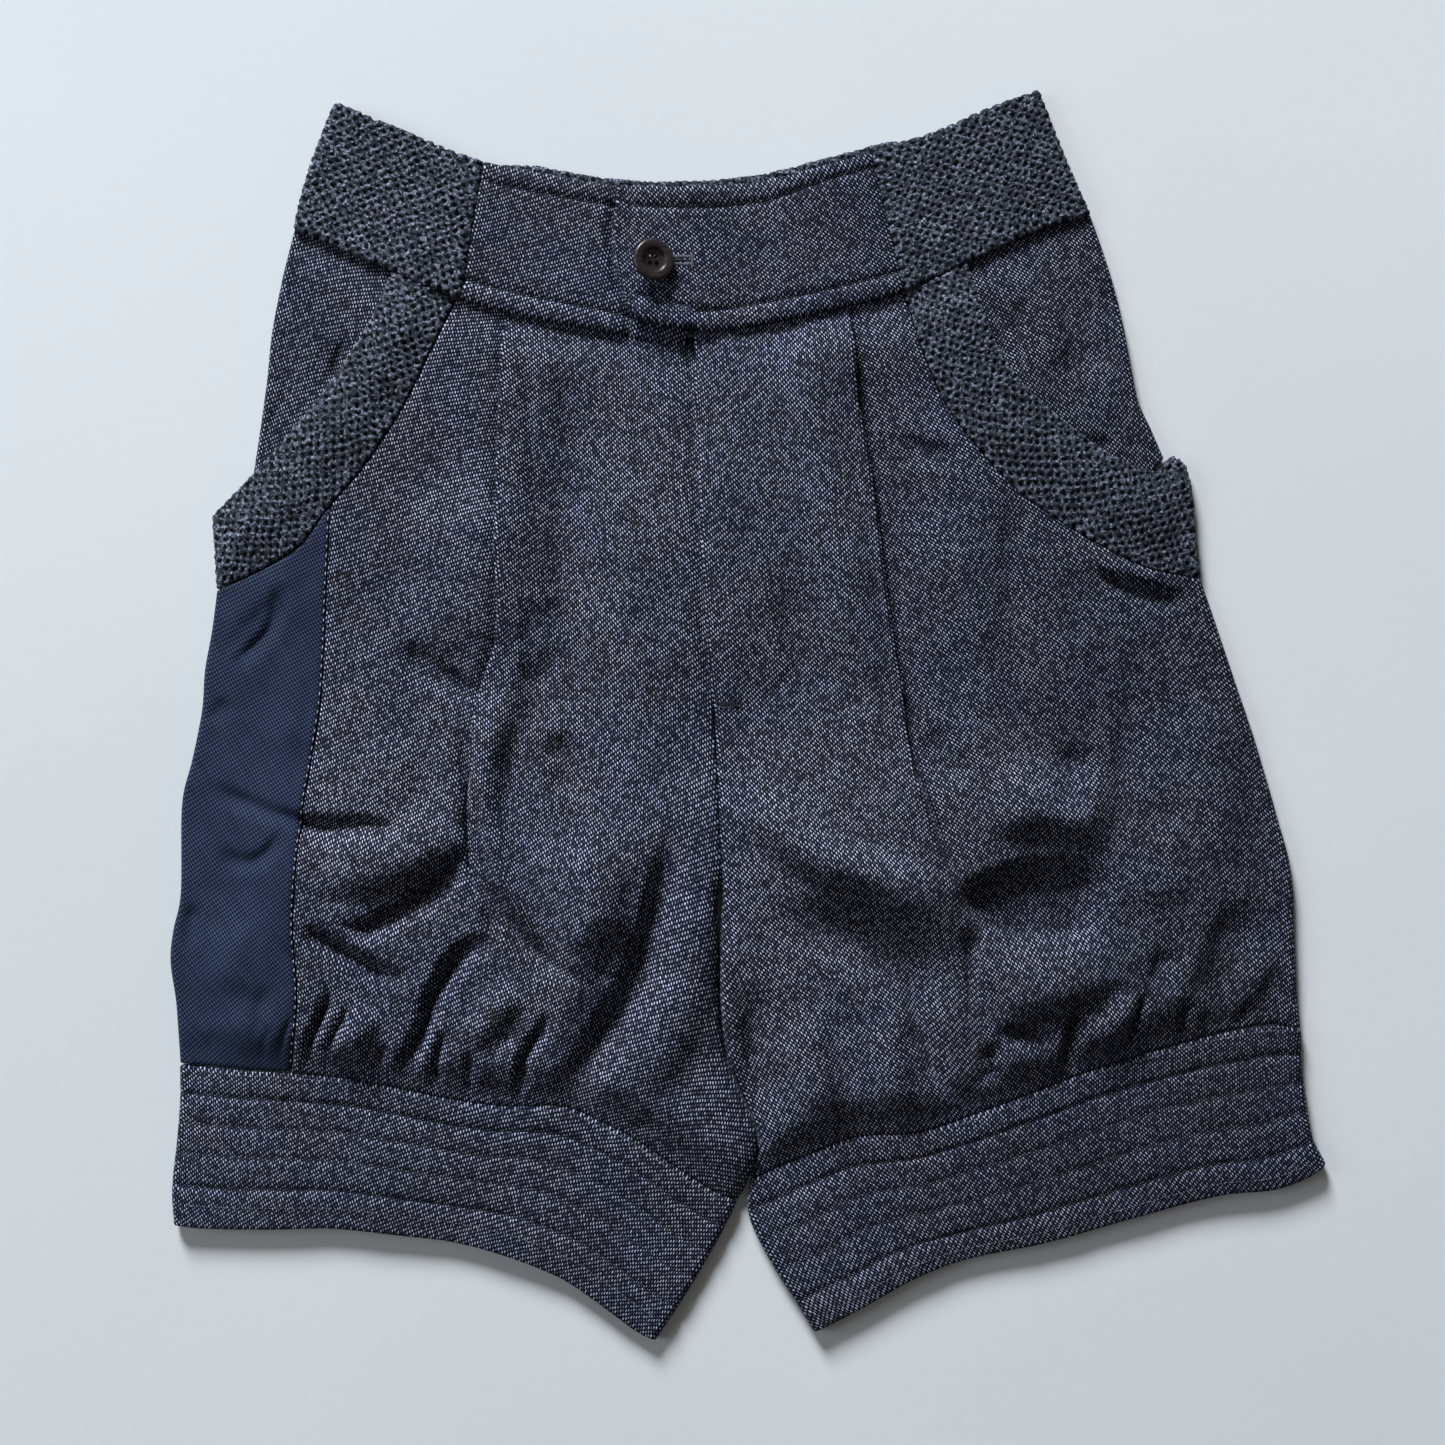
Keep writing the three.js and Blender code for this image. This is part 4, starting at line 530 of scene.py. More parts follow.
def knit_relief(w):
    """Height of the knit, in mm, from its two phases: a grid of loops round small holes."""
    a, b = 2 * np.pi * w[..., 0], 2 * np.pi * w[..., 1]
    h = np.cos(a) + 0.7 * np.cos(b) + 0.76 * np.cos(a - b) + 0.35 * np.cos(a + b) + 0.4 * np.cos(2 * b)
    return -0.34 * h


# ------------------------------------------------------------------ shells
LEAD = np.array([0, 0.35, 0.8, 1.4, 2.1, 3.0, 4.1])
NONE = np.array([0.0])


def lay(a, b, n, start=LEAD, end=LEAD):
    """Places from a to b in every row, closer together near the ends. a and b are columns of numbers, one a row."""
    length = b - a
    k = np.clip(length / (2.6 * (start[-1] + end[-1] + 1e-6)), 0.02, 1)
    rest = length - (start[-1] + end[-1]) * k
    middle = np.linspace(0, 1, n + 2)[1:-1]
    parts = [a + s * k for s in start] + [a + start[-1] * k + rest * f for f in middle] + [b - s * k for s in end[::-1]]
    return np.stack(parts, 1)


made = {}


def surface_area(m):
    p, q = m[1:, :-1] - m[:-1, :-1], m[:-1, 1:] - m[:-1, :-1]
    r, s = m[1:, :-1] - m[1:, 1:], m[:-1, 1:] - m[1:, 1:]
    return 0.5 * (np.linalg.norm(np.cross(p, q), axis=-1).sum() + np.linalg.norm(np.cross(r, s), axis=-1).sum())


def unit(v):
    n = np.linalg.norm(v, axis=-1, keepdims=True)
    return v / np.where(n < 1e-9, 1, n)


def add_mesh(name, points, faces, uv=None, smooth=True):
    """A mesh object in metres from points in the tables' millimetres. faces is one array of quads, or a list of arrays."""
    mesh = bpy.data.meshes.new(name)
    groups = faces if isinstance(faces, list) else [faces]
    groups = [np.asarray(g, np.int32) for g in groups if len(g)]
    loops = np.concatenate([g.ravel() for g in groups])
    sizes = np.concatenate([np.full(len(g), g.shape[1], np.int32) for g in groups])
    starts = np.concatenate([[0], np.cumsum(sizes)[:-1]]).astype(np.int32)
    mesh.vertices.add(len(points))
    mesh.vertices.foreach_set("co", ((np.asarray(points, float) + SHIFT) / 1000).astype(np.float32).ravel())
    mesh.loops.add(len(loops))
    mesh.loops.foreach_set("vertex_index", loops)
    mesh.polygons.add(len(sizes))
    mesh.polygons.foreach_set("loop_start", starts)
    mesh.polygons.foreach_set("loop_total", sizes)
    mesh.update(calc_edges=True)
    mesh.validate()
    if smooth:
        mesh.polygons.foreach_set("use_smooth", np.ones(len(mesh.polygons), bool))
    if uv is not None:
        layer = mesh.uv_layers.new(name="weave")
        index = np.empty(len(mesh.loops), np.int32)
        mesh.loops.foreach_get("vertex_index", index)
        layer.data.foreach_set("uv", np.asarray(uv, np.float32)[index].ravel())
    piece = bpy.data.objects.new(name, mesh)
    bpy.context.scene.collection.objects.link(piece)
    return piece


def shell(name, m, w, thick, relief=None):
    """A closed wall of even thickness on a net of middle points, with rounded rims. m is rows x columns x 3, w its phases."""
    rows, cols = m.shape[:2]
    ts, tv = np.gradient(m, axis=1), np.gradient(m, axis=0)
    n = unit(np.cross(ts, tv))
    if n[rows // 2, cols // 2, 2] < 0:
        n = -n
    out = np.zeros(m.shape[:2]) if relief is None else relief
    top = m + n * (thick / 2 + out[..., None])
    bottom = m - n * thick / 2
    edge = [(0, c) for c in range(cols)] + [(r, cols - 1) for r in range(1, rows)]
    edge += [(rows - 1, c) for c in range(cols - 2, -1, -1)] + [(r, 0) for r in range(rows - 2, 0, -1)]
    er, ec = np.array(edge).T
    away = unit(tv[er, ec]) * ((er == rows - 1).astype(float) - (er == 0))[:, None] + unit(ts[er, ec]) * ((ec == cols - 1).astype(float) - (ec == 0))[:, None]
    en = n[er, ec]
    away = unit(away - en * (away * en).sum(-1, keepdims=True))
    rings = [m[er, ec] + thick / 2 * (0.8 * math.cos(k) * away + math.sin(k) * en) + (en * out[er, ec][:, None] * max(math.sin(k), 0)) + away * out[er, ec][:, None] * math.cos(k) * (relief is not None)
             for k in (math.pi / 4, 0, -math.pi / 4)]
    points = np.vstack([top.reshape(-1, 3), bottom.reshape(-1, 3)] + rings)
    points[:, 2] = np.maximum(points[:, 2], 0.04)
    uv = np.vstack([w.reshape(-1, 2)] * 2 + [w[er, ec]] * 3)
    count = rows * cols
    i = np.arange(count).reshape(rows, cols)
    quad = np.stack([i[:-1, :-1], i[:-1, 1:], i[1:, 1:], i[1:, :-1]], -1).reshape(-1, 4)
    # The side that faces out: the same turn as the normals.
    a, b, c = (top.reshape(-1, 3)[quad[:, k]] for k in (0, 1, 2))
    turn = (np.cross(b - a, c - a) * n.reshape(-1, 3)[quad[:, 0]]).sum() > 0
    upper = quad if turn else quad[:, ::-1]
    lower = (quad[:, ::-1] if turn else quad) + count
    loop = i[er, ec]
    size = len(loop)
    chain = [loop] + [2 * count + k * size + np.arange(size) for k in range(3)] + [loop + count]
    sides = []
    for p, q in zip(chain[:-1], chain[1:]):
        face = np.stack([p, q, np.roll(q, -1), np.roll(p, -1)], -1)
        sides.append(face if turn else face[:, ::-1])
    faces = np.vstack([upper, lower] + sides)
    piece = add_mesh(name, points, faces, uv)
    made[name] = dict(area=surface_area(m) / 1e6, tris=2 * len(faces), top=top, n=n, piece=piece,
                      wide=np.linalg.norm(np.diff(m, axis=1), axis=2).sum(1).max() / 1000, tall=np.linalg.norm(np.diff(m, axis=0), axis=2).sum(0).max() / 1000)
    return piece


def cloth(name, edges, thick, rise, weaves, step=1.7, seam=GAP, fold_outer=None, fold_inner=None, pleat=None, dip=(0, 1), fall=24,
          inset_outer=0.0, inset_inner=0.0, roll=(0, 0, 0, 0), relief=None, shove=None, lead=LEAD, lap_top=0.0, lap_low=0.0):
    """One cloth piece between its cut edges: outer, inner, top, low. rise(x, y, s, long, v, tall) is its middle surface.
    fold_outer(v) is from 0, a seam edge that turns down a little, to 1, a fold round the side to beneath. roll is how far the
    outer, inner, top and low edges turn down."""
    base = spread(*edges)

    def place(u, v):
        """The cut edges' own place, going straight on past the top and low edges where the piece laps under another."""
        u, v = np.broadcast_arrays(np.asarray(u, float), np.asarray(v, float))
        p = base(u, np.clip(v, 0, 1))
        if v.min() < 0:
            p = p + (base(u, 0.0) - base(u, 0.01)) * (np.maximum(-v, 0) / 0.01)[..., None]
        if v.max() > 1:
            p = p + (base(u, 1.0) - base(u, 0.99)) * (np.maximum(v - 1, 0) / 0.01)[..., None]
        return p

    outer, inner = edges[0], edges[1]
    tall = (np.linalg.norm(at(outer, 0.0) - outer[-1]) + np.linalg.norm(at(inner, 0.0) - inner[-1])) / 2
    pad = seam / 2 + 0.38 * thick
    rows = max(int(tall / step) - 8, 6)
    v = lay(np.array([pad - lap_top]), np.array([tall - pad + lap_low]), rows, lead, lead)[0] / tall
    a, b = place(0.0, v), place(1.0, v)
    long = np.hypot(*(b - a).T)
    along = (b - a) / long[:, None]
    mean = np.percentile(long, 80)
    V = v[:, None]

    def over(s):
        p = place(s / long[:, None], V)
        return p, rise(p[..., 0], p[..., 1], s, long[:, None], V, tall)

    start = np.full(len(v), max(inset_outer, pad))
    end = long - max(inset_inner, pad)
    tails = []
    for which, fold in (("outer", fold_outer), ("inner", fold_inner)):
        if fold is None:
            tails.append(None)
            continue
        g = fold(v)
        s4 = np.full((len(v), 1), 4.0) if which == "outer" else (long - 4.0)[:, None]
        top = over(s4)[1][:, 0]
        r = mix(1.7, (top - thick / 2) / 2, g)
        r = np.maximum(r, 0.4)
        centre = thick / 2 + r
        under = np.maximum(np.minimum(np.where(long < 40, 6.0, UNDER), long * 0.4), centre + 1)
        phi0 = np.pi * mix(0.72, 0, soft(g))
        turn = np.linspace(0, 1, 14)[None, :]
        phi = phi0[:, None] + (np.pi - phi0[:, None]) * turn
        s_arc = centre[:, None] - r[:, None] * np.sin(phi)
        z_arc = top[:, None] - r[:, None] * (1 + np.cos(phi))
        flat = soft((g - 0.75) / 0.25)
        run = np.linspace(1, 0.12, 6)[None, :]
        s_run = s_arc[:, :1] + (np.maximum(under - centre, 1)[:, None] * mix(0.05, 1, flat)[:, None]) * run
        z_run = np.repeat(z_arc[:, :1], 6, 1)
        # A seam edge that has no run beneath goes on straight down a little instead.
        z_run = z_run - (1 - flat)[:, None] * 0.5 * run
        s_run = mix(s_arc[:, :1] - 0.02 * run, s_run, flat[:, None])
        tails.append((np.hstack([s_run, s_arc[:, :-1]]), np.hstack([z_run, z_arc[:, :-1]]), top, centre))
        if which == "outer":
            start = centre
        else:
            end = long - centre
    left, right = (LEAD if fold_outer is None else NONE), (LEAD if fold_inner is None else NONE)

    if pleat is None:
        n = max(int(mean / step) - 8, 8)
        s = lay(start, end, n, lead if fold_outer is None else NONE, lead if fold_inner is None else NONE)
        p, z = over(s)
        part = np.zeros(s.shape[1], int)
    else:
        share = np.linspace(0, 1, 401)
        probe = place(share[None, :], V)
        d = np.abs(probe[..., 0] - x_at(pleat, probe[..., 1]))
        best = d.argmin(1)
        edge = share[best] * long
        y_edge = probe[np.arange(len(v)), best, 1]
        table = np.array(PLEAT_DEPTH[::-1], float)
        deep, grow = np.interp(y_edge, table[:, 0], table[:, 1]), PLEAT_STEP * np.interp(y_edge, table[:, 0], table[:, 2])
        # The pleat lies flat where it is caught in the waist seam.
        grow = grow * mix(0.1, 1.0, soft((v * tall - 1) / 22))
        # Even out the steps between rows.
        for _ in range(3):
            edge = np.convolve(np.pad(edge, 2, mode="edge"), np.ones(5) / 5, mode="valid")
            deep = np.convolve(np.pad(deep, 2, mode="edge"), np.ones(5) / 5, mode="valid")
        stop = edge + deep
        n1, n2 = max(int(np.percentile(stop - start, 80) / step) - 6, 8), max(int(np.percentile(end - edge, 80) / step) - 8, 8)
        s1 = lay(start, stop, n1, left, NONE)
        s2 = lay(edge, end, n2, np.array([0, 0.5, 1.1, 1.8, 2.7, 3.8]), right)
        p1, z1 = over(s1)
        p2, z2 = over(s2)
        # The layer beneath goes down a little beside the folded edge.
        sunk = z1 - (grow / PLEAT_STEP)[:, None] * dip[0] * np.exp(-(((edge[:, None] - s1 - 0.5 * dip[1]) / dip[1]) ** 2))
        z1 = np.maximum(sunk, np.minimum(z1, 2.5))
        inner_side = np.maximum(edge, stop)[:, None]
        z2 = z2 + 2 * grow[:, None] * (1 - soft((s2 - inner_side - 3) / fall))
        z_low, z_up = z1[:, -1:], z2[:, :1]
        tight = soft((deep + 3) / 9)[:, None]
        # Lower hairpin, middle layer, upper hairpin; where the pleat has opened they are one soft rise.
        k = np.linspace(0, 1, 24)[None, 1:-1]
        lo, mid, up = np.clip(k / 0.33, 0, 1), np.clip((k - 0.33) / 0.34, 0, 1), np.clip((k - 0.67) / 0.33, 0, 1)
        ss = stop[:, None] + (edge - stop)[:, None] * mid
        r = grow[:, None] / 2
        ss = ss + r * np.sin(np.pi * lo) * (k < 0.34) - r * np.sin(np.pi * up) * (k > 0.66)
        g1, g2 = (1 - np.cos(np.pi * lo)) / 2, (1 - np.cos(np.pi * up)) / 2
        middle_z = z_low + grow[:, None]
        zz = z_low + (middle_z - z_low) * g1 + mid * ((z_up - grow[:, None]) - middle_z) + (z_up - (z_up - grow[:, None])) * g2
        even_s = stop[:, None] + (edge - stop)[:, None] * k
        even_z = mix(z_low, z_up, soft(k))
        ss, zz = mix(even_s, ss, tight), mix(even_z, zz, tight)
        pp = place(ss / long[:, None], V)
        s, z, p = np.hstack([s1, ss, s2]), np.hstack([z1, zz, z2]), np.concatenate([p1, pp, p2], 1)
        part = np.concatenate([np.zeros(s1.shape[1] + 11, int), np.ones(11 + s2.shape[1], int)])

    # Edges that turn down into a seam.
    ro, ri, rt, rl = roll
    if ro:
        z = z + quarter(s - start[:, None], 2.8, ro)
    if ri:
        amount = ri(v)[:, None] if callable(ri) else ri
        z = z + quarter(end[:, None] - s, 2.8, 1.0) * amount
    z = z + quarter((V - v[0]) * tall, 2.8, rt) + quarter((v[-1] - V) * tall, 2.8, rl)
    if shove is not None:
        s = s + shove(p[..., 1], long[:, None] - s)
        p = place(s / long[:, None], V) + along[:, None, :] * np.maximum(s - long[:, None], 0)[..., None]

    ref = [p[:, 0].copy(), p[:, -1].copy()]
    flat_p = p.copy()
    # Round the sides: the tails start and end where the top surface does.
    m = np.dstack([p, z])
    if tails[0] is not None:
        ts, tz, top, centre = tails[0]
        fade = 1 - soft((s - start[:, None]) / 8)
        m[..., 2] += (top - z[:, 0])[:, None] * fade
        tp = place(ts / long[:, None], V)
        tm = np.dstack([tp, tz])
        whole = np.concatenate([tm, m[:, :1]], 1)
        arc = np.linalg.norm(np.diff(whole, axis=1), axis=2)
        back = np.cumsum(arc[:, ::-1], 1)[:, ::-1]
        flat_p = np.concatenate([ref[0][:, None] - along[:, None] * back[..., None], flat_p], 1)
        m = np.concatenate([tm, m], 1)
        part = np.concatenate([np.full(tm.shape[1], part[0]), part])
    if tails[1] is not None:
        ts, tz, top, centre = tails[1]
        fade = 1 - soft((end[:, None] - s) / 8)
        m[:, -s.shape[1]:, 2] += (top - z[:, -1])[:, None] * fade
        ts, tz = ts[:, ::-1], tz[:, ::-1]
        tp = place((long[:, None] - ts) / long[:, None], V)
        tm = np.dstack([tp, tz])
        whole = np.concatenate([m[:, -1:], tm], 1)
        arc = np.linalg.norm(np.diff(whole, axis=1), axis=2)
        ahead = np.cumsum(arc, 1)
        flat_p = np.concatenate([flat_p, ref[1][:, None] + along[:, None] * ahead[..., None]], 1)
        m = np.concatenate([m, tm], 1)
        part = np.concatenate([part, np.full(tm.shape[1], part[-1])])

    fields = [weave(n) for n in (weaves if isinstance(weaves, (list, tuple)) else [weaves])]
    w = fields[0](flat_p[..., 0], flat_p[..., 1])
    if len(fields) > 1:
        w = np.where((part == 1)[None, :, None], fields[1](flat_p[..., 0], flat_p[..., 1]), w)
    if relief is not None:
        fx, fy = flat_p[..., 0], flat_p[..., 1]
        w = w + np.stack([0.26 * noise(fx, fy, 6.5, 61) + 0.13 * noise(fx, fy, 2.6, 62), 0.26 * noise(fx, fy, 6.5, 63) + 0.13 * noise(fx, fy, 2.6, 64)], -1)
    bump = relief(w) * (1 + 0.35 * noise(flat_p[..., 0], flat_p[..., 1], 4.0, 65)) if relief is not None else None
    return shell(name, m, w, thick, bump)


# ------------------------------------------------------------------ materials
class Net:
    """A few short words for building a material's nodes."""

    def __init__(self, name):
        self.material = bpy.data.materials.new(name)
        self.material.use_nodes = True
        self.tree = self.material.node_tree
        self.tree.nodes.clear()
        self.out = self.tree.nodes.new("ShaderNodeOutputMaterial")
        self.shader = self.tree.nodes.new("ShaderNodeBsdfPrincipled")
        self.tree.links.new(self.shader.outputs["BSDF"], self.out.inputs["Surface"])

    def put(self, socket, value):
        if isinstance(value, bpy.types.NodeSocket):
            self.tree.links.new(value, socket)
        else:
            socket.default_value = value

    def math(self, kind, a, b=0.0, c=0.0, clamp=False):
        node = self.tree.nodes.new("ShaderNodeMath")
        node.operation, node.use_clamp = kind, clamp
        for socket, value in zip(node.inputs, (a, b, c)):
            self.put(socket, value)
        return node.outputs[0]

    def vector(self, kind, a, b=(0, 0, 0)):
        node = self.tree.nodes.new("ShaderNodeVectorMath")
        node.operation = kind
        self.put(node.inputs[0], a)
        self.put(node.inputs[1], b)
        return node.outputs["Vector"]

    def combine(self, x, y, z=0.0):
        node = self.tree.nodes.new("ShaderNodeCombineXYZ")
        for socket, value in zip(node.inputs, (x, y, z)):
            self.put(socket, value)
        return node.outputs[0]

    def split(self, v):
        node = self.tree.nodes.new("ShaderNodeSeparateXYZ")
        self.put(node.inputs[0], v)
        return node.outputs[0], node.outputs[1], node.outputs[2]

    def place(self):
        return self.tree.nodes.new("ShaderNodeTexCoord").outputs["Object"]

    def uv(self):
        node = self.tree.nodes.new("ShaderNodeUVMap")
        node.uv_map = "weave"
        return node.outputs[0]

    def noise(self, vector, scale, detail=2.0, rough=0.5, colour=False):
        node = self.tree.nodes.new("ShaderNodeTexNoise")
        self.put(node.inputs["Vector"], vector)
        node.inputs["Scale"].default_value = scale
        node.inputs["Detail"].default_value = detail
        node.inputs["Roughness"].default_value = rough
        return node.outputs["Color" if colour else "Fac"]

    def dice(self, vector):
        node = self.tree.nodes.new("ShaderNodeTexWhiteNoise")
        node.noise_dimensions = "3D"
        self.put(node.inputs["Vector"], vector)
        return node.outputs["Value"]

    def ramp(self, value, low, high, to_low=0.0, to_high=1.0, smooth=True):
        node = self.tree.nodes.new("ShaderNodeMapRange")
        node.interpolation_type = "SMOOTHSTEP" if smooth else "LINEAR"
        for key, v in (("Value", value), ("From Min", low), ("From Max", high), ("To Min", to_low), ("To Max", to_high)):
            self.put(node.inputs[key], v)
        return node.outputs["Result"]

    def mix(self, share, a, b, kind="MIX"):
        node = self.tree.nodes.new("ShaderNodeMix")
        node.data_type, node.blend_type = "RGBA", kind
        self.put(node.inputs["Factor"], share)
        self.put([s for s in node.inputs if s.name == "A" and s.type == "RGBA"][0], a)
        self.put([s for s in node.inputs if s.name == "B" and s.type == "RGBA"][0], b)
        return [s for s in node.outputs if s.type == "RGBA"][0]

    def bump(self, high, strength, distance):
        node = self.tree.nodes.new("ShaderNodeBump")
        node.inputs["Strength"].default_value = strength
        node.inputs["Distance"].default_value = distance
        self.put(node.inputs["Height"], high)
        return node.outputs["Normal"]

    def finish(self, colour, rough, normal=None, sheen=0.0, sheen_rough=0.5, sheen_tint=(1, 1, 1, 1), specular=0.2, coat=0.0, coat_rough=0.1):
        s = self.shader.inputs
        self.put(s["Base Color"], colour)
        self.put(s["Roughness"], rough)
        s["Specular IOR Level"].default_value = specular
        s["Sheen Weight"].default_value = sheen
        s["Sheen Roughness"].default_value = sheen_rough
        s["Sheen Tint"].default_value = sheen_tint
        s["Coat Weight"].default_value = coat
        s["Coat Roughness"].default_value = coat_rough
        if normal is not None:
            self.put(s["Normal"], normal)
        return self.material


def rgb(r, g, b):
    return (r, g, b, 1.0)


def wave(n, phase):
    return n.math("COSINE", n.math("MULTIPLY", phase, 2 * math.pi))


def birdseye(name, dark=(0.0034, 0.0047, 0.0130), dot=(0.540, 0.605, 0.850), contrast=1.0, glow=0.88):
    """Two-colour wool: small light dots, a little longer than wide, on near-black, with uneven yarns and a short nap."""
    n = Net(name)
    where = n.place()
    drift = n.noise(where, 70, 2.0, 0.5, colour=True)
    dx, dy, _ = n.split(drift)
    a, b, _ = n.split(n.uv())
    a = n.math("ADD", a, n.math("MULTIPLY", n.math("SUBTRACT", dx, 0.5), 0.6))
    b = n.math("ADD", b, n.math("MULTIPLY", n.math("SUBTRACT", dy, 0.5), 0.6))
    close = n.noise(where, 640, 2.0, 0.6, colour=True)
    cx, cy, _ = n.split(close)
    a = n.math("ADD", a, n.math("MULTIPLY", n.math("SUBTRACT", cx, 0.5), 0.5))
    b = n.math("ADD", b, n.math("MULTIPLY", n.math("SUBTRACT", cy, 0.5), 0.5))
    both = n.math("ADD", a, b)
    v = n.math("ADD", n.math("ADD", n.math("MULTIPLY", wave(n, a), 0.42), wave(n, b)), n.math("MULTIPLY", wave(n, both), 0.85))
    mask = n.ramp(v, 0.15, 1.95)
    cell = n.combine(n.math("FLOOR", n.math("ADD", a, 0.5)), n.math("FLOOR", n.math("ADD", b, 0.5)), 0.0)
    luck = n.dice(cell)
    yarn = n.noise(n.combine(n.math("MULTIPLY", a, 0.09), n.math("MULTIPLY", b, 0.9), 3.0), 1.0, 2.0, 0.6)
    warp = n.noise(n.combine(n.math("MULTIPLY", a, 0.9), n.math("MULTIPLY", b, 0.07), 9.0), 1.0, 2.0, 0.6)
    nap = n.noise(where, 2600, 3.0, 0.65)
    patch = n.noise(where, 34, 3.0, 0.55)
    tone = n.noise(where, 26, 3.0, 0.55)
    gain = n.math("MULTIPLY", n.ramp(n.math("POWER", luck, 1.55), 0.0, 1.0, 0.18, 2.02, False), n.ramp(yarn, 0.3, 0.7, 0.82, 1.16, False))
    gain = n.math("MULTIPLY", gain, n.ramp(warp, 0.3, 0.7, 0.9, 1.1, False))
    gain = n.math("MULTIPLY", gain, n.ramp(nap, 0.25, 0.75, 0.55, 1.45, False))
    share = n.math("MULTIPLY", n.math("MULTIPLY", mask, gain), contrast, clamp=True)
    # The cloth is cooler in some places and browner in others, and single dots differ too.
    hue = n.math("ADD", n.math("MULTIPLY", n.ramp(tone, 0.38, 0.62), 0.55), n.math("MULTIPLY", n.dice(n.vector("ADD", cell, (0.37, 0.61, 5.2))), 0.45))
    light = n.mix(hue, rgb(*(glow * c for c in dot)), rgb(dot[0] * glow * 1.06, dot[1] * glow * 0.98, dot[2] * glow * 0.90))
    base = n.mix(n.ramp(tone, 0.40, 0.60), rgb(*dark), rgb(dark[0] * 1.3, dark[1] * 1.05, dark[2] * 0.76))
    deep = n.mix(n.math("MULTIPLY", n.ramp(nap, 0.45, 0.8), 0.2), base, rgb(dot[0] * 0.10, dot[1] * 0.10, dot[2] * 0.11))
    colour = n.mix(share, deep, light)
    level = n.ramp(patch, 0.3, 0.7, 0.84, 1.16, False)
    # Painted shade: the wool darkens towards the wearer's left leg, down to 0.70 at x = 0.19 m, for the shade on that
    # side.
    level = n.math("MULTIPLY", level, n.ramp(n.split(where)[0], -0.02, 0.19, 1.0, 0.70))
    colour = n.mix(1.0, colour, n.combine(level, level, level), "MULTIPLY")
    high = n.math("ADD", n.math("MULTIPLY", mask, 0.7), n.math("MULTIPLY", nap, 0.5))
    rough = n.ramp(nap, 0.2, 0.8, 0.82, 0.97, False)
    return n.finish(colour, rough, n.bump(high, 0.55, 0.0005), sheen=0.035, sheen_rough=0.5, sheen_tint=rgb(0.72, 0.78, 0.95), specular=0.07)


def knit_cloth(name):
    """Coarse wool knit: grey loops round dark holes, hairy."""
    n = Net(name)
    where = n.place()
    drift = n.noise(where, 700, 2.0, 0.5, colour=True)
    dx, dy, _ = n.split(drift)
    a, b, _ = n.split(n.uv())
    a = n.math("ADD", a, n.math("MULTIPLY", n.math("SUBTRACT", dx, 0.5), 0.45))
    b = n.math("ADD", b, n.math("MULTIPLY", n.math("SUBTRACT", dy, 0.5), 0.45))
    h = n.math("ADD", wave(n, a), n.math("MULTIPLY", wave(n, b), 0.7))
    h = n.math("ADD", h, n.math("MULTIPLY", wave(n, n.math("SUBTRACT", a, b)), 0.76))
    h = n.math("ADD", h, n.math("MULTIPLY", wave(n, n.math("ADD", a, b)), 0.35))
    h = n.math("ADD", h, n.math("MULTIPLY", wave(n, n.math("MULTIPLY", b, 2.0)), 0.4))
    hole = n.ramp(n.math("ADD", n.math("MULTIPLY", h, 0.8), n.math("MULTIPLY", n.math("SUBTRACT", n.noise(where, 420, 3.0, 0.6), 0.5), 4.4)), -0.7, 1.6)
    speck = n.dice(n.vector("FLOOR", n.vector("MULTIPLY", n.vector("ADD", where, n.vector("MULTIPLY", drift, (0.0011, 0.0011, 0.0011))), (1050.0, 1050.0, 300.0))))
    fluff = n.noise(where, 1500, 4.0, 0.7)
    strand = n.noise(n.combine(n.math("MULTIPLY", n.math("ADD", a, b), 2.4), n.math("MULTIPLY", n.math("SUBTRACT", a, b), 0.8), 0.0), 1.6, 3.0, 0.65)
    patch = n.noise(where, 60, 3.0, 0.5)
    bright = n.math("MULTIPLY", n.ramp(fluff, 0.36, 0.68, 0.12, 2.1, False), n.ramp(strand, 0.3, 0.7, 0.5, 1.5, False))
    bright = n.math("MULTIPLY", bright, n.ramp(patch, 0.3, 0.7, 0.86, 1.14, False))
    bright = n.math("MULTIPLY", bright, n.ramp(n.math("POWER", speck, 2.6), 0.0, 1.0, 0.22, 2.9, False))
    # Painted shade: the knit darkens towards the wearer's left leg, down to 0.74 at x = 0.17 m, for the shade on that
    # side.
    bright = n.math("MULTIPLY", bright, n.ramp(n.split(where)[0], -0.02, 0.17, 1.0, 0.74))
    yarn = n.mix(1.0, rgb(0.090, 0.104, 0.142), n.combine(bright, bright, bright), "MULTIPLY")
    colour = n.mix(n.math("MULTIPLY", hole, 0.93), yarn, rgb(0.0035, 0.0048, 0.0090))
    high = n.math("ADD", n.math("MULTIPLY", hole, -1.0), n.math("MULTIPLY", fluff, 0.8))
    return n.finish(colour, n.ramp(fluff, 0.2, 0.8, 0.85, 1.0, False), n.bump(high, 0.8, 0.0010), sheen=0.05, sheen_rough=0.6, sheen_tint=rgb(0.72, 0.79, 0.92), specular=0.1)


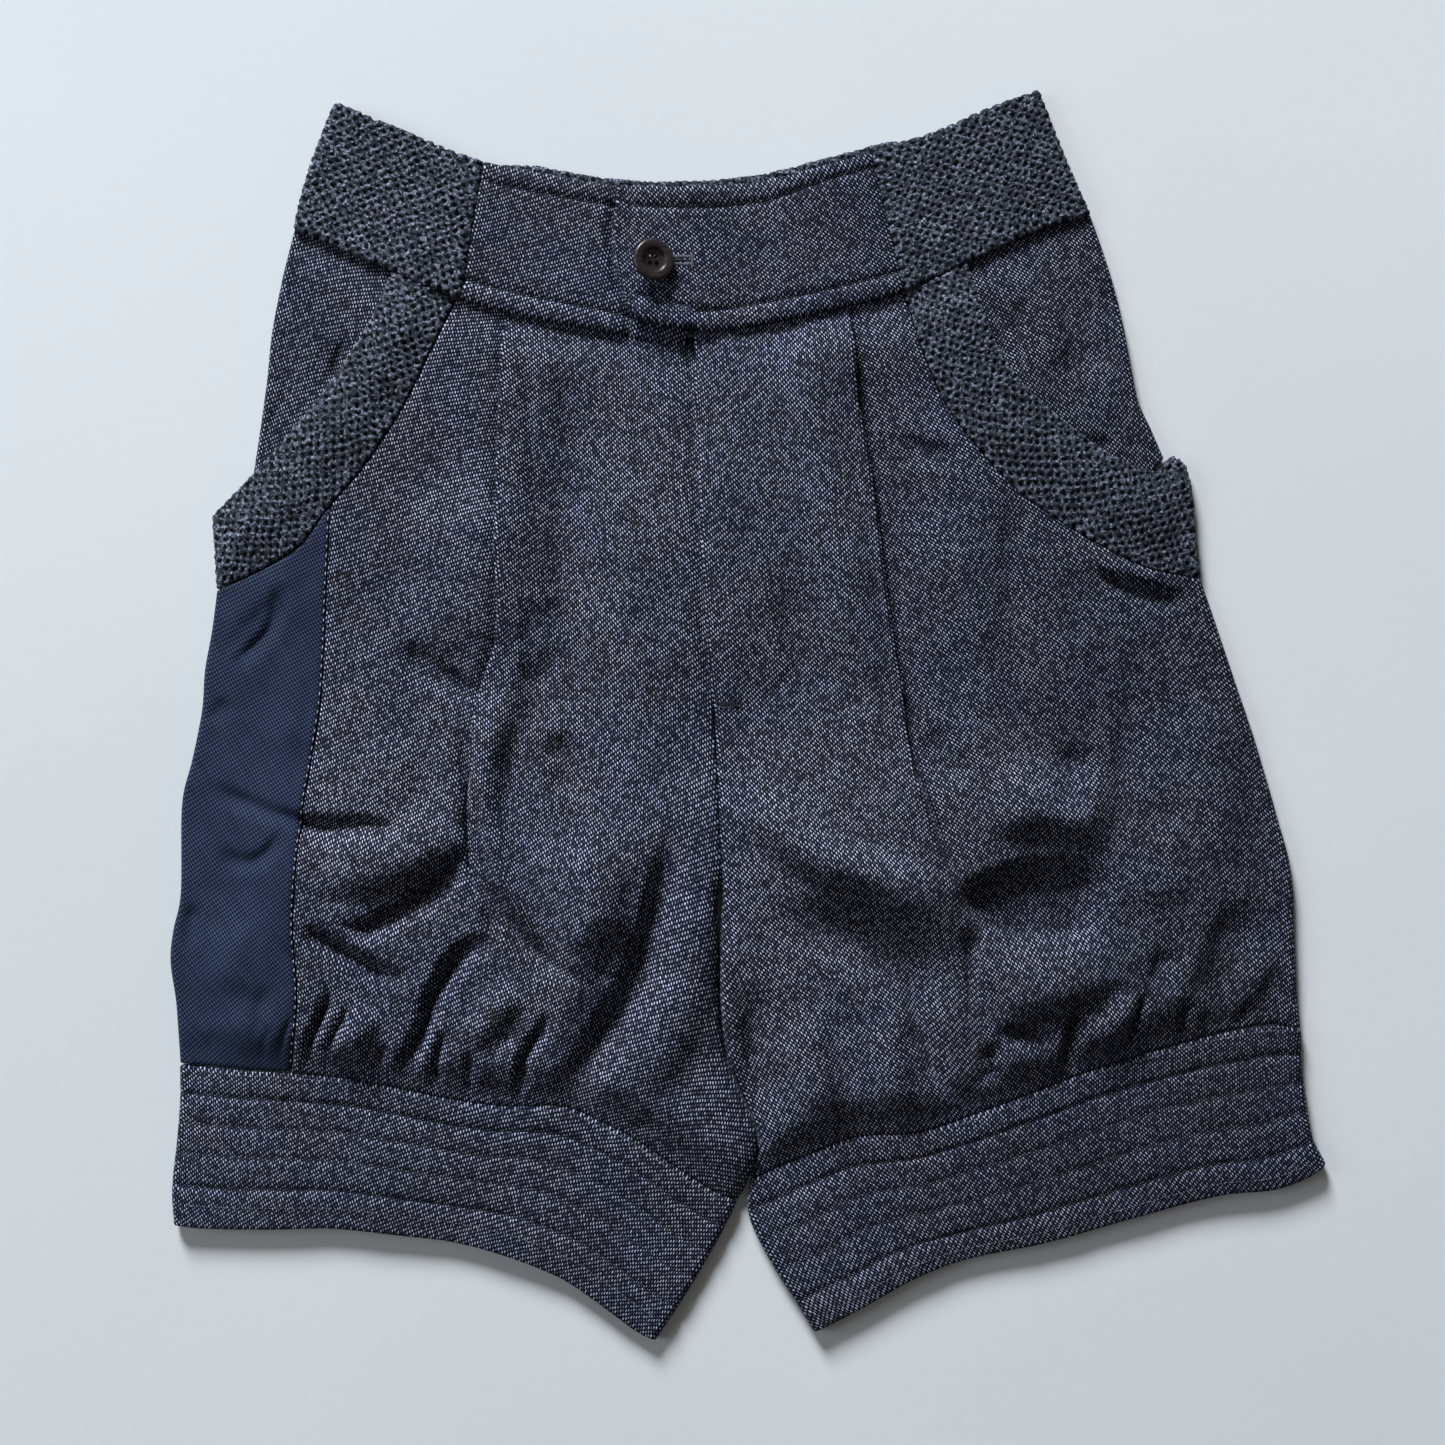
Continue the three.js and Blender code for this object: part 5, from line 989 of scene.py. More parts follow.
def twill(name):
    """Navy wool twill: fine slanting ribs."""
    n = Net(name)
    where = n.place()
    a, b, _ = n.split(n.uv())
    drift = n.noise(where, 80, 2.0, 0.5, colour=True)
    dx, dy, _ = n.split(drift)
    a = n.math("ADD", a, n.math("MULTIPLY", n.math("SUBTRACT", dx, 0.5), 0.5))
    b = n.math("ADD", b, n.math("MULTIPLY", n.math("SUBTRACT", dy, 0.5), 0.5))
    v = n.math("ADD", n.math("MULTIPLY", wave(n, a), 0.8), n.math("MULTIPLY", wave(n, b), 1.0))
    v = n.math("ADD", v, n.math("MULTIPLY", wave(n, n.math("ADD", a, b)), 0.35))
    rib = n.ramp(v, -1.1, 1.9)
    nap = n.noise(where, 2400, 3.0, 0.65)
    yarn = n.noise(n.combine(n.math("MULTIPLY", a, 0.06), n.math("MULTIPLY", b, 0.8), 5.0), 1.0, 2.0, 0.6)
    patch = n.noise(where, 45, 3.0, 0.55)
    gain = n.math("MULTIPLY", n.ramp(nap, 0.25, 0.75, 0.55, 1.4, False), n.ramp(yarn, 0.3, 0.7, 0.75, 1.25, False))
    gain = n.math("MULTIPLY", gain, n.ramp(patch, 0.3, 0.7, 0.85, 1.15, False))
    colour = n.mix(n.math("MULTIPLY", rib, gain, clamp=True), rgb(0.0036, 0.0056, 0.0150), rgb(0.056, 0.078, 0.148))
    high = n.math("ADD", n.math("MULTIPLY", rib, 0.6), n.math("MULTIPLY", nap, 0.4))
    return n.finish(colour, n.ramp(nap, 0.2, 0.8, 0.74, 0.92, False), n.bump(high, 0.4, 0.0004), sheen=0.05, sheen_rough=0.5, sheen_tint=rgb(0.5, 0.65, 1.0), specular=0.08)


def horn(name):
    """Dark brown button: faint streaks, a worn sheen."""
    n = Net(name)
    where = n.place()
    x, y, z = n.split(where)
    streak = n.noise(n.combine(n.math("MULTIPLY", x, 160.0), n.math("MULTIPLY", y, 900.0), n.math("MULTIPLY", z, 300.0)), 1.0, 4.0, 0.6)
    speck = n.noise(where, 1800, 2.0, 0.5)
    colour = n.mix(n.ramp(streak, 0.3, 0.75), rgb(0.0095, 0.0062, 0.0070), rgb(0.034, 0.0225, 0.0245))
    rough = n.math("ADD", n.ramp(streak, 0.2, 0.8, 0.24, 0.38, False), n.math("MULTIPLY", speck, 0.06))
    return n.finish(colour, rough, n.bump(n.math("ADD", streak, n.math("MULTIPLY", speck, 0.4)), 0.12, 0.0002), specular=0.5, coat=0.12, coat_rough=0.25)


def thread(name, low, high_):
    """Sewing thread: two plies, a little hairy."""
    n = Net(name)
    where = n.place()
    fluff = n.noise(where, 3200, 3.0, 0.6)
    slow = n.noise(where, 260, 2.0, 0.5)
    share = n.math("MULTIPLY", n.ramp(fluff, 0.3, 0.7), n.ramp(slow, 0.3, 0.7, 0.6, 1.0, False))
    colour = n.mix(share, rgb(*low), rgb(*high_))
    return n.finish(colour, n.ramp(fluff, 0.2, 0.8, 0.6, 0.85, False), n.bump(fluff, 0.5, 0.0002), sheen=0.1, specular=0.25)


def floor_finish(name):
    n = Net(name)
    where = n.place()
    soft_ = n.noise(where, 3.0, 3.0, 0.5)
    fine = n.noise(where, 160, 4.0, 0.6)
    share = n.math("ADD", n.math("MULTIPLY", n.ramp(soft_, 0.3, 0.7), 0.6), n.math("MULTIPLY", fine, 0.4))
    colour = n.mix(share, rgb(0.655, 0.683, 0.712), rgb(0.700, 0.730, 0.755))
    return n.finish(colour, n.ramp(fine, 0.3, 0.7, 0.82, 0.92, False), n.bump(fine, 0.10, 0.0005), specular=0.05)


mats = {
    "wool": birdseye("birdseye_wool"),
    # Painted shade: a darker copy of the wool, its dots at 0.76 instead of 0.88, for the shade on the cuffs. The front
    # waistband pieces and the right yoke use it too.
    "cuff": birdseye("birdseye_wool_darker", glow=0.76),
    "knit": knit_cloth("charcoal_knit"),
    "navy": twill("navy_twill"),
    "horn": horn("dark_horn"),
    "dark_thread": thread("dark_thread", (0.006, 0.007, 0.011), (0.030, 0.032, 0.042)),
    "grey_thread": thread("grey_thread", (0.075, 0.085, 0.105), (0.235, 0.250, 0.290)),
    "white_thread": thread("selvedge_thread", (0.33, 0.34, 0.37), (0.72, 0.73, 0.76)),
    "fuzz": thread("wool_fuzz", (0.05, 0.055, 0.07), (0.20, 0.21, 0.25)),
    "floor": floor_finish("pale_floor"),
}


def dress(piece, material, node=None):
    piece.data.materials.append(mats[material])
    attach(piece, "root")
    if node:
        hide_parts(node)


# ------------------------------------------------------------------ the leg cloth
CORNER, CROTCH = 3, 8


def always(v):
    return np.ones_like(v)


def fly_rise(x, y):
    return FLY_STEP * (1 - soft((x - x_at(centre_right, y) - 2) / 14)) * soft((y + 26) / 22)


def fly_hollow(x, y):
    """The right leg's cloth is pressed down along the edge of the lap over it."""
    return -1.5 * np.exp(-(((x - x_at(centre_left, y) + 1.0) / 2.8) ** 2)) * soft((y - 4) / 16)


def leg_shove(y, d):
    """The inner legs swell towards each other and touch."""
    return 1.5 * np.exp(-(((d - 4.0) / 3.0) ** 2)) * soft((-60 - y) / 18) * soft((y + 216) / 12)


front_right_outer = join(rows_of(welt_seam_right, CORNER, len(WELT_SEAM_RIGHT) - 1)[::-1], selvedge)
piece = cloth(
    "wool_front_right",
    (front_right_outer, centre_front_right, between(under_low, front_right_outer[0][0], centre_right[0][0]), rows_of(cuff_seam_right, 2, len(CUFF_SEAM_RIGHT) - 1)),
    WOOL, lambda x, y, s, long, v, tall: np.maximum(inner_leg(height(x, y, (1 - v) * tall), long - s, y) + fly_hollow(x, y), 2.3),
    ["front_right_outer", "front_right_inner"], seam=0.5, pleat=pleat_right, dip=(1.7, 3.0), fall=15, roll=(1.0, 0.8, 0, 0.9), shove=leg_shove, lap_top=0.6,
)
dress(piece, "wool", "front_right")

front_left_outer = join(welt_seam_left[::-1], side_left)
run = np.concatenate([[0], np.cumsum(np.hypot(*np.diff(front_left_outer, axis=0).T))])
side_share = run[len(welt_seam_left) - 1] / run[-1]
piece = cloth(
    "wool_front_left",
    (front_left_outer, centre_left, between(waist_low, front_left_outer[0][0], centre_left[0][0]), cuff_seam_left),
    WOOL, lambda x, y, s, long, v, tall: inner_leg(height(x, y, (1 - v) * tall) + fly_rise(x, y), long - s, y),
    ["front_left_outer", "front_left_inner"], seam=0.6, pleat=pleat_left, dip=(2.4, 5.0), fold_outer=lambda v: soft((v - side_share) / 0.035),
    roll=(0, lambda v: 0.8 * soft((v - 0.42) / 0.05) + 0.25, 0, 0.9), shove=leg_shove, lap_top=0.6,
)
dress(piece, "wool", "front_left")

piece = cloth(
    "navy_side_panel",
    (side_right, selvedge, rows_of(welt_seam_right, 0, CORNER), rows_of(cuff_seam_right, 0, 2)),
    WOOL, lambda x, y, s, long, v, tall: height(x, y, (1 - v) * tall), "navy", seam=0.9, fold_outer=always, roll=(0, 0.9, 0.6, 0.8),
)
dress(piece, "navy", "side_panel_right")

for side, outer, inner, ends in (("right", yoke_side_right, yoke_inner_right, None), ("left", yoke_side_left, yoke_inner_left, None)):
    piece = cloth(
        "wool_yoke_" + side,
        (outer, inner, between(waist_low, outer[0][0], inner[0][0]), straight(outer[-1], inner[-1])),
        WOOL, lambda x, y, s, long, v, tall: height(x, y), "yoke_" + side, seam=0.5, fold_outer=always, lap_top=0.6, lap_low=5.5,
    )
    dress(piece, "cuff" if side == "right" else "wool", "hip_yoke_" + side)

# ------------------------------------------------------------------ knit welts


def welt_rise(x, y, s, long, v, tall):
    base = np.maximum(height(x, y), 3.1)
    lift = WELT_STEP * (1 - soft((v - 0.4) / 0.5)) * soft((s - 3) / 14)
    hollow = -2.4 * np.exp(-(((x - 190.5) / 3.4) ** 2 + ((y - 108.0) / 4.6) ** 2)) + 0.8 * np.exp(-(((x - 197.5) / 3.0) ** 2 + ((y - 108.5) / 5) ** 2))
    return base + lift + hollow + quarter(v * tall, 3.2, 0.6) + 0.5 * np.sin(np.pi * np.clip(v, 0, 1)) - 0.5 * soft((v - 0.88) / 0.1)


for side, edges in (
    ("right", (welt_end_right, between(waist_low, mouth_right[-1][0], welt_seam_right[-1][0]), mouth_right, welt_seam_right)),
    ("left", (welt_end_left, between(waist_low, mouth_left[-1][0], welt_seam_left[-1][0]), mouth_left, welt_seam_left)),
):
    piece = cloth("knit_welt_" + side, edges, WELT, welt_rise, "knit_welt_" + side, step=0.82, seam=1.0, fold_outer=always, relief=knit_relief,
                  lead=np.array([0, 0.7, 1.5]))
    dress(piece, "knit", "pocket_welt_" + side)

# ------------------------------------------------------------------ waistband


def waist_section(row):
    r = WAIST[row]
    return straight((r[0], r[1]), (r[2], r[3]))


seam_right, seam_left = waist_section(KNIT_SEAM_RIGHT), waist_section(KNIT_SEAM_LEFT)


def groove(d, at_, depth, half):
    """A line of topstitch pulls the cloth down along it."""
    return -depth * np.exp(-(((d - at_) / half) ** 2))


def top_stitch(x):
    """How far below the band's top edge the upper row of stitching runs."""
    return mix(9.2, 6.4, soft((x - 5) / 40))


LOW_STITCH = 9.4


def band_stitching(x, y, d, up, left=1.0, low=1.0):
    """The waistband's form: two stitched rows, the cloth between each row and its edge standing up like a cord."""
    z = 0.35 * noise(x, y, 26, 21) + 0.16 * noise(x, y, 8, 22)
    row = top_stitch(x)
    z = z + left * (groove(d, row, 1.2, 1.5) + 0.35 * np.exp(-(((d - row / 2) / 3.2) ** 2)))
    z = z + low * (groove(up, LOW_STITCH, 1.3, 1.6) + 0.55 * np.exp(-(((up - LOW_STITCH / 2) / 3.4) ** 2)))
    pucker = np.sin(2 * np.pi * (x + 1.2 * noise(x, y, 9, 27)) / 5.6)
    return z + 0.16 * pucker * (np.exp(-(((d - row) / 3) ** 2)) + np.exp(-(((up - LOW_STITCH) / 3.4) ** 2)))


def band_form(x, y, v, tall):
    return BAND_HEIGHT + band_stitching(x, y, v * tall, (1 - v) * tall)


def knit_band_rise(x, y, s, long, v, tall):
    return BAND_HEIGHT + 0.4 * noise(x, y, 24, 23) + quarter(v * tall, 3.0, 0.6) + quarter((1 - v) * tall, 3.0, 0.9)


for side, edges in (
    ("right", (line(WAIST_END_RIGHT), seam_right, between(waist_top, WAIST[0][0], seam_right[0][0]), between(waist_low, WAIST[0][2], seam_right[1][0]))),
    ("left", (line(WAIST_END_LEFT), seam_left, between(waist_top, WAIST[-1][0], seam_left[0][0]), between(waist_low, WAIST[-1][2], seam_left[1][0]))),
):
    piece = cloth("knit_band_" + side, edges, KNIT, knit_band_rise, "knit_side_" + side, step=0.86, fold_outer=always, relief=knit_relief,
                  roll=(0, 0.9, 0, 0), lead=np.array([0, 0.7, 1.5]))
    dress(piece, "knit", "waistband_side_" + side)

piece = cloth(
    "wool_band_right",
    (seam_right, straight((UNDER_END[0], y_at(waist_top, UNDER_END[0])), (UNDER_END[1], y_at(under_low, UNDER_END[1]))),
     between(waist_top, seam_right[0][0], UNDER_END[0]), between(under_low, seam_right[1][0], UNDER_END[1])),
    BAND, lambda x, y, s, long, v, tall: band_form(x, y, v, tall) - 2.3 * np.exp(-(((x - x_at(line(TAB_EDGE), y) + 0.9) / 2.8) ** 2)) * soft((238 - y) / 12) - 2.0 * soft((x + 60) / 14) * soft((187 - y) / 7), "band_right", step=1.2, roll=(0.9, 0.3, 0.9, 0.6),
)
dress(piece, "cuff", "waistband_front_right")

tab_edge = line(TAB_EDGE)


def tab_rise(x, y, s, long, v, tall):
    lift = TAB_STEP * (1 - soft((x + 26.8) / 22))
    up = y - np.where(x < -23, mix(180.5, 175.2, soft((x + 50) / 27)), y_at(waist_low, x))
    lip = 1.3 * np.exp(-(((x + 40) / 13) ** 2) - (up / 7) ** 2) + 0.7 * np.exp(-((s / 2.0) ** 2)) - 0.6 * np.exp(-(((s - 7.5) / 2.6) ** 2)) * soft((y - 205) / 14)
    return BAND_HEIGHT + lift + lip + band_stitching(x, y, v * tall, up, soft((s - 5) / 4), soft((s - 4) / 4))


piece = cloth(
    "wool_band_left",
    (tab_edge, seam_left, between(waist_top, tab_edge[0][0], seam_left[0][0]), join(line(TAB_CORNER), between(waist_low, TAB_CORNER[-1][0], seam_left[1][0]))),
    BAND, tab_rise, "band_left", step=1.2, roll=(0.3, 0.9, 0.9, 0.5),
)
dress(piece, "cuff", "waistband_front_left")

back_top = waist_top.copy()
back_top[:, 1] += BACK_RISE * soft((waist_top[:, 0] + 122) / 28) * soft((86 - waist_top[:, 0]) / 30)
piece = cloth(
    "knit_band_back", (line(WAIST_END_RIGHT), line(WAIST_END_LEFT), back_top, waist_low),
    KNIT - 0.4, lambda x, y, s, long, v, tall: KNIT / 2 + 0.15 + 1.2 * (1 - soft((v * tall - 1) / 7)) * soft((x + 122) / 20) * soft((86 - x) / 20) + 0 * x,
    "knit_back", step=1.45, seam=0.8, inset_outer=12, inset_inner=12, relief=lambda w: 0.7 * knit_relief(w), lead=np.array([0, 0.8, 1.7]),
)
dress(piece, "knit", "waistband_back")

# ------------------------------------------------------------------ backs


def back_rise(x, y, s, long, v, tall):
    edge = np.minimum(np.minimum(s, long - s) - 12, np.minimum(v, 1 - v) * tall)
    lift = folds(x, y, BACK_RUNS, 1.0, 0.0) + 0.25 * (1 + noise(x, y, 22, 31))
    return WOOL / 2 + 0.02 + np.clip(lift, 0, 1.4) * soft(edge / 18)


piece = cloth(
    "wool_back_right", (outline_right, centre_right, between(waist_low, outline_right[0][0], centre_right[0][0]), cuff_seam_right),
    WOOL, back_rise, "back_right", step=3.2, seam=1.2, inset_outer=13,
)
dress(piece, "wool", "back_right")
centre_back_left = join(rows_of(centre_right, 0, CROTCH), rows_of(centre_left, CROTCH + 1, len(CENTRE_LEFT) - 1))
piece = cloth(
    "wool_back_left", (outline_left, centre_back_left, between(waist_low, outline_left[0][0], centre_back_left[0][0]), cuff_seam_left),
    WOOL, back_rise, "back_left", step=3.2, seam=1.2, inset_outer=13,
)
dress(piece, "wool", "back_left")

# ------------------------------------------------------------------ cuffs
CUFF_ROWS = (13.0, 26.5, 40.5, 55.0)  # rows of stitching, from the seam down


def cuff_rise(x, y, s, long, v, tall):
    d = v * tall
    z = CUFF_HEIGHT + 0.35 * np.clip(folds(x, y), -1.5, 3) * (1 - soft(d / 30)) + 0.35 * noise(x, y, 30, 41) + 0.18 * noise(x, y, 9, 42)
    for k, row in enumerate(CUFF_ROWS):
        z = z + groove(d, row, (1.35, 0.85, 0.8, 1.25)[k], 1.5)
    return z + 0.5 * np.exp(-(((d - 61) / 4.5) ** 2))


def cuff_back_rise(x, y, s, long, v, tall):
    return CUFF / 2 + 0.05 + 0.3 * (1 + noise(x, y, 24, 43)) * soft((np.minimum(s, long - s) - 14) / 12) * soft(np.minimum(v, 1 - v) * tall / 8)


cuffs = {
    "right": (cuff_side_right, cuff_inner_right, cuff_seam_right, hem_right),
    "left": (cuff_side_left, cuff_inner_left, cuff_seam_left, hem_left),
}
for side, edges in cuffs.items():
    piece = cloth("wool_cuff_front_" + side, edges, CUFF, cuff_rise, "cuff_" + side, step=1.5, seam=0.6, fold_outer=always, fold_inner=always, roll=(0, 0, 0.7, 0.3))
    dress(piece, "cuff", "cuff_front_" + side)
    piece = cloth("wool_cuff_back_" + side, edges, CUFF - 0.2, cuff_back_rise, "cuff_" + side, step=2.2, seam=1.4, inset_outer=14, inset_inner=13)
    dress(piece, "cuff", "cuff_back_" + side)

# ------------------------------------------------------------------ small things sewn on


def tree_of(*names):
    """What a needle finds when it comes down on these pieces, in the tables' millimetres."""
    points, faces, count = [], [], 0
    for name in names:
        top = made[name]["top"]
        rows, cols = top.shape[:2]
        i = np.arange(rows * cols).reshape(rows, cols) + count
        points.append(top.reshape(-1, 3))
        faces.append(np.stack([i[:-1, :-1], i[:-1, 1:], i[1:, 1:], i[1:, :-1]], -1).reshape(-1, 4))
        count += rows * cols
    return BVHTree.FromPolygons(np.vstack(points).tolist(), np.vstack(faces).tolist())


def drop(tree, xy, miss=6.0):
    z = np.empty(len(xy))
    for k, (x, y) in enumerate(xy):
        hit = tree.ray_cast(Vector((x, y, 60.0)), Vector((0, 0, -1)))[0]
        z[k] = hit.z if hit is not None else np.nan
    return z


def tubes(name, paths, radii, sides=6, flat=1.0):
    """One mesh of many short closed tubes. paths is tubes x points x 3, radii a number for each point."""
    paths = np.asarray(paths, float)
    count, long = paths.shape[:2]
    t = unit(np.gradient(paths, axis=1))
    up = np.where(np.abs(t[..., 2:3]) > 0.9, np.array([1.0, 0, 0]), np.array([0, 0, 1.0]))
    a = unit(np.cross(t, up))
    b = np.cross(a, t) * flat
    turn = np.arange(sides) * 2 * np.pi / sides
    r = np.broadcast_to(np.asarray(radii, float), (count, long))[..., None, None]
    ring = paths[:, :, None] + r * (np.cos(turn)[None, None, :, None] * a[:, :, None] + np.sin(turn)[None, None, :, None] * b[:, :, None])
    i = np.arange(count * long * sides).reshape(count, long, sides)
    j = np.roll(i, -1, 2)
    walls = np.stack([i[:, :-1], j[:, :-1], j[:, 1:], i[:, 1:]], -1).reshape(-1, 4)
    caps = np.vstack([i[:, 0, ::-1], i[:, -1]])
    piece = add_mesh(name, ring.reshape(-1, 3), [walls, caps])
    made[name] = dict(area=0.0, tris=2 * len(walls) + len(caps) * (sides - 2))
    return piece


def spaced(run, pitch, skip_start=0.0, skip_end=0.0):
    """Distances along a run, one for each stitch, and the run's length."""
    long = np.hypot(*np.diff(run, axis=0).T).sum()
    return np.arange(skip_start, long - skip_end, pitch), long


def row_of_stitches(tree, run, pitch, length, radius, sink=0.0, wander=0.15):
    """Paths of the stitches along a run: each comes up, lies on the cloth, and goes down again."""
    starts, long = spaced(run, pitch, 1.0, 1.0 + length)
    starts = starts + rng.uniform(-0.15, 0.15, len(starts))
    share = np.linspace(0, 1, 5)
    s = starts[:, None] + length * share[None, :]
    xy = at(run, s / long)
    swing = rng.uniform(-wander, wander, (len(starts), 1, 2))
    xy = xy + swing * np.linspace(-1, 1, 5)[None, :, None]
    z = drop(tree, xy.reshape(-1, 2)).reshape(len(starts), 5)
    keep = ~np.isnan(z).any(1)
    lift = radius * np.array([-1.3, 0.45, 0.75, 0.45, -1.3]) - sink
    return np.dstack([xy, z + lift])[keep]


def offset_line(run, d):
    t = np.gradient(run, axis=0)
    t = t / np.hypot(*t.T)[:, None]
    return run + d * np.stack([-t[:, 1], t[:, 0]], 1)


def inside_row(edges, d, start=0.02, end=0.98, count=160):
    """A row at d mm from the top cut edge of a piece."""
    place = spread(*edges)
    tall = (np.linalg.norm(edges[0][0] - edges[0][-1]) + np.linalg.norm(edges[1][0] - edges[1][-1])) / 2
    return place(np.linspace(start, end, count), d / tall if not callable(d) else d)


# Waistband: two rows in dark thread.
band_tree = tree_of("wool_band_right", "wool_band_left")
right_x = np.linspace(seam_right[0][0] + 1.5, -62.5, 60)
left_x = np.linspace(-52.0, seam_left[0][0] - 2.0, 90)
dark = []
for xs in (right_x, left_x):
    upper = np.stack([xs, y_at(waist_top, xs)], 1)
    dark.append(row_of_stitches(band_tree, upper - np.stack([0 * xs, top_stitch(xs)], 1), 2.9, 2.2, 0.27, 0.12))
for a_, b_ in ((seam_right[1][0] + 1.5, -55.5), (-46.0, seam_left[1][0] - 2.0)):
    xs = np.linspace(a_, b_, 90)
    lower = np.stack([xs, y_at(under_low if b_ < -50 else waist_low, xs) + LOW_STITCH + 0.25], 1)
    dark.append(row_of_stitches(band_tree, lower, 2.9, 2.2, 0.27, 0.12))
piece = tubes("stitching_waistband", np.concatenate(dark), [0.12, 0.25, 0.27, 0.25, 0.12])
dress(piece, "dark_thread")

# Tab: a column of light stitches along its edge.
xy = offset_line(tab_edge, -0.9 if tab_edge[0, 1] > tab_edge[-1, 1] else 0.9)
xy = xy if xy[:, 0].mean() > tab_edge[:, 0].mean() else offset_line(tab_edge, 0.9)
piece = tubes("stitching_tab", row_of_stitches(band_tree, xy, 1.75, 0.85, 0.26, 0.02, 0.1), [0.12, 0.23, 0.26, 0.23, 0.12])
dress(piece, "grey_thread")

# Cuffs: rows of thread round each one, and a lighter row along the seam and the hem.
dark, pale = [], []
for side, edges in cuffs.items():
    tree = tree_of("wool_cuff_front_" + side)
    for k, row in enumerate(CUFF_ROWS):
        dark.append(row_of_stitches(tree, inside_row(edges, row, 0.025, 0.975), 3.1, 2.3, 0.25, 0.10))
    pale.append(row_of_stitches(tree, inside_row(edges, 2.2, 0.03, 0.97), 1.74, 0.8, 0.24, 0.05, 0.2))
    pale.append(row_of_stitches(tree, inside_row(edges, 63.5, 0.03, 0.97), 1.74, 0.8, 0.24, 0.05, 0.2))
piece = tubes("stitching_cuffs", np.concatenate(dark), [0.12, 0.23, 0.25, 0.23, 0.12])
dress(piece, "dark_thread")
piece = tubes("stitching_cuff_edges", np.concatenate(pale), [0.10, 0.2, 0.24, 0.2, 0.10])
dress(piece, "grey_thread")

# Selvedge: white dashes on the navy panel's front seam.
navy_tree = tree_of("navy_side_panel", "wool_front_right")
piece = tubes("selvedge_dashes", row_of_stitches(navy_tree, offset_line(selvedge, -0.7), 4.2, 2.0, 0.22, -0.04, 0.14), [0.08, 0.19, 0.22, 0.19, 0.08])
dress(piece, "white_thread")

# Welt seam: the front cloth's edge, caught down with light stitches; a light row just below the tack at the fly's foot.
leg_tree = tree_of("wool_front_right", "wool_front_left")
run = rows_of(welt_seam_right, CORNER, len(WELT_SEAM_RIGHT) - 1)
inward = offset_line(run, -1.6)
pale = [row_of_stitches(leg_tree, inward, 1.9, 0.85, 0.24, 0.03, 0.2)]
foot = line([mm(713.5, 704.5), mm(728, 706.5), mm(743, 706)])
pale.append(row_of_stitches(leg_tree, foot[: len(foot) * 3 // 4] - np.array([0, 0.65]), 1.3, 1.4, 0.26, -0.05, 0.05))
piece = tubes("stitching_welt_seam", np.concatenate(pale), [0.10, 0.2, 0.24, 0.2, 0.10])
dress(piece, "grey_thread")

# Fly: its curved stitching, and the tack at its foot.
curve = line([mm(*q) for q in [(781, 372), (783, 470), (784, 560), (782, 620), (772, 656), (756, 682), (742, 698)]])
dark = [row_of_stitches(leg_tree, curve, 3.2, 2.2, 0.17, 0.12)]
for up in (0.0, 0.5, 1.0, 1.5):
    dark.append(row_of_stitches(leg_tree, foot + np.array([0, up]), 1.5, 1.7, 0.40, -0.05, 0.05))
piece = tubes("stitching_fly", np.concatenate(dark), [0.10, 0.2, 0.24, 0.2, 0.10])
dress(piece, "dark_thread")

# Buttonhole: two rows of close stitches and a bar at the end.
hole = []
for row, (x0, x1) in ((257.6, (668, 691)), (265.0, (668, 691))):
    for px in np.arange(x0, x1, 0.95):
        x, y = mm(px + rng.uniform(-0.2, 0.2), row + rng.uniform(-0.4, 0.4))
        hole.append([(x - 0.1, y - 0.8), (x, y - 0.4), (x, y), (x, y + 0.4), (x + 0.1, y + 0.8)])
for py in np.arange(255.0, 268.0, 0.95):
    x, y = mm(692.5, py)
    hole.append([(x - 0.8, y), (x - 0.4, y), (x, y), (x + 0.4, y), (x + 0.8, y)])
hole = np.array(hole)
z = drop(band_tree, hole.reshape(-1, 2)).reshape(hole.shape[:2])
piece = tubes("buttonhole", np.dstack([hole, z + np.array([-0.2, 0.16, 0.25, 0.16, -0.2])]), [0.10, 0.15, 0.17, 0.15, 0.10])
dress(piece, "grey_thread")
# Painted shadow: a dark thread tube laid along the buttonhole's slit stands for the shade in the opening.
x0, y0 = mm(668, 261.3)
x1, y1 = mm(690, 261.3)
slit = np.stack([np.linspace(x0, x1, 9), np.linspace(y0, y1, 9)], 1)
z = drop(band_tree, slit)
piece = tubes("buttonhole_slit_shadow", np.dstack([slit[None], (z + 0.05)[None]]), [0.15, 0.3, 0.34, 0.36, 0.36, 0.36, 0.34, 0.3, 0.15])
dress(piece, "dark_thread")

# ------------------------------------------------------------------ button
TILT = math.radians(18)
AXIS = Vector((-0.19, 0.98, 0)).normalized()
SEAT = BAND_HEIGHT + TAB_STEP + 1.2 + 3.2
stand = Matrix.Translation(Vector((BUTTON["x"], BUTTON["y"], SEAT))) @ Matrix.Rotation(TILT, 4, AXIS)


def lathe(profile, around):
    turn = np.arange(around) * 2 * np.pi / around
    profile = np.array(profile)
    rings = np.stack([profile[:, None, 0] * np.cos(turn), profile[:, None, 0] * np.sin(turn), np.broadcast_to(profile[:, None, 1], (len(profile), around))], -1)
    points = np.vstack([[[0, 0, profile[0, 1]]], rings[1:-1].reshape(-1, 3), [[0, 0, profile[-1, 1]]]])
    i = 1 + np.arange((len(profile) - 2) * around).reshape(-1, around)
    j = np.roll(i, -1, 1)
    walls = np.stack([i[:-1], j[:-1], j[1:], i[1:]], -1).reshape(-1, 4)
    last = len(points) - 1
    ends = np.vstack([np.stack([np.zeros(around, int), j[0], i[0]], -1), np.stack([np.full(around, last), i[-1], j[-1]], -1)])
    return points, [walls, ends]


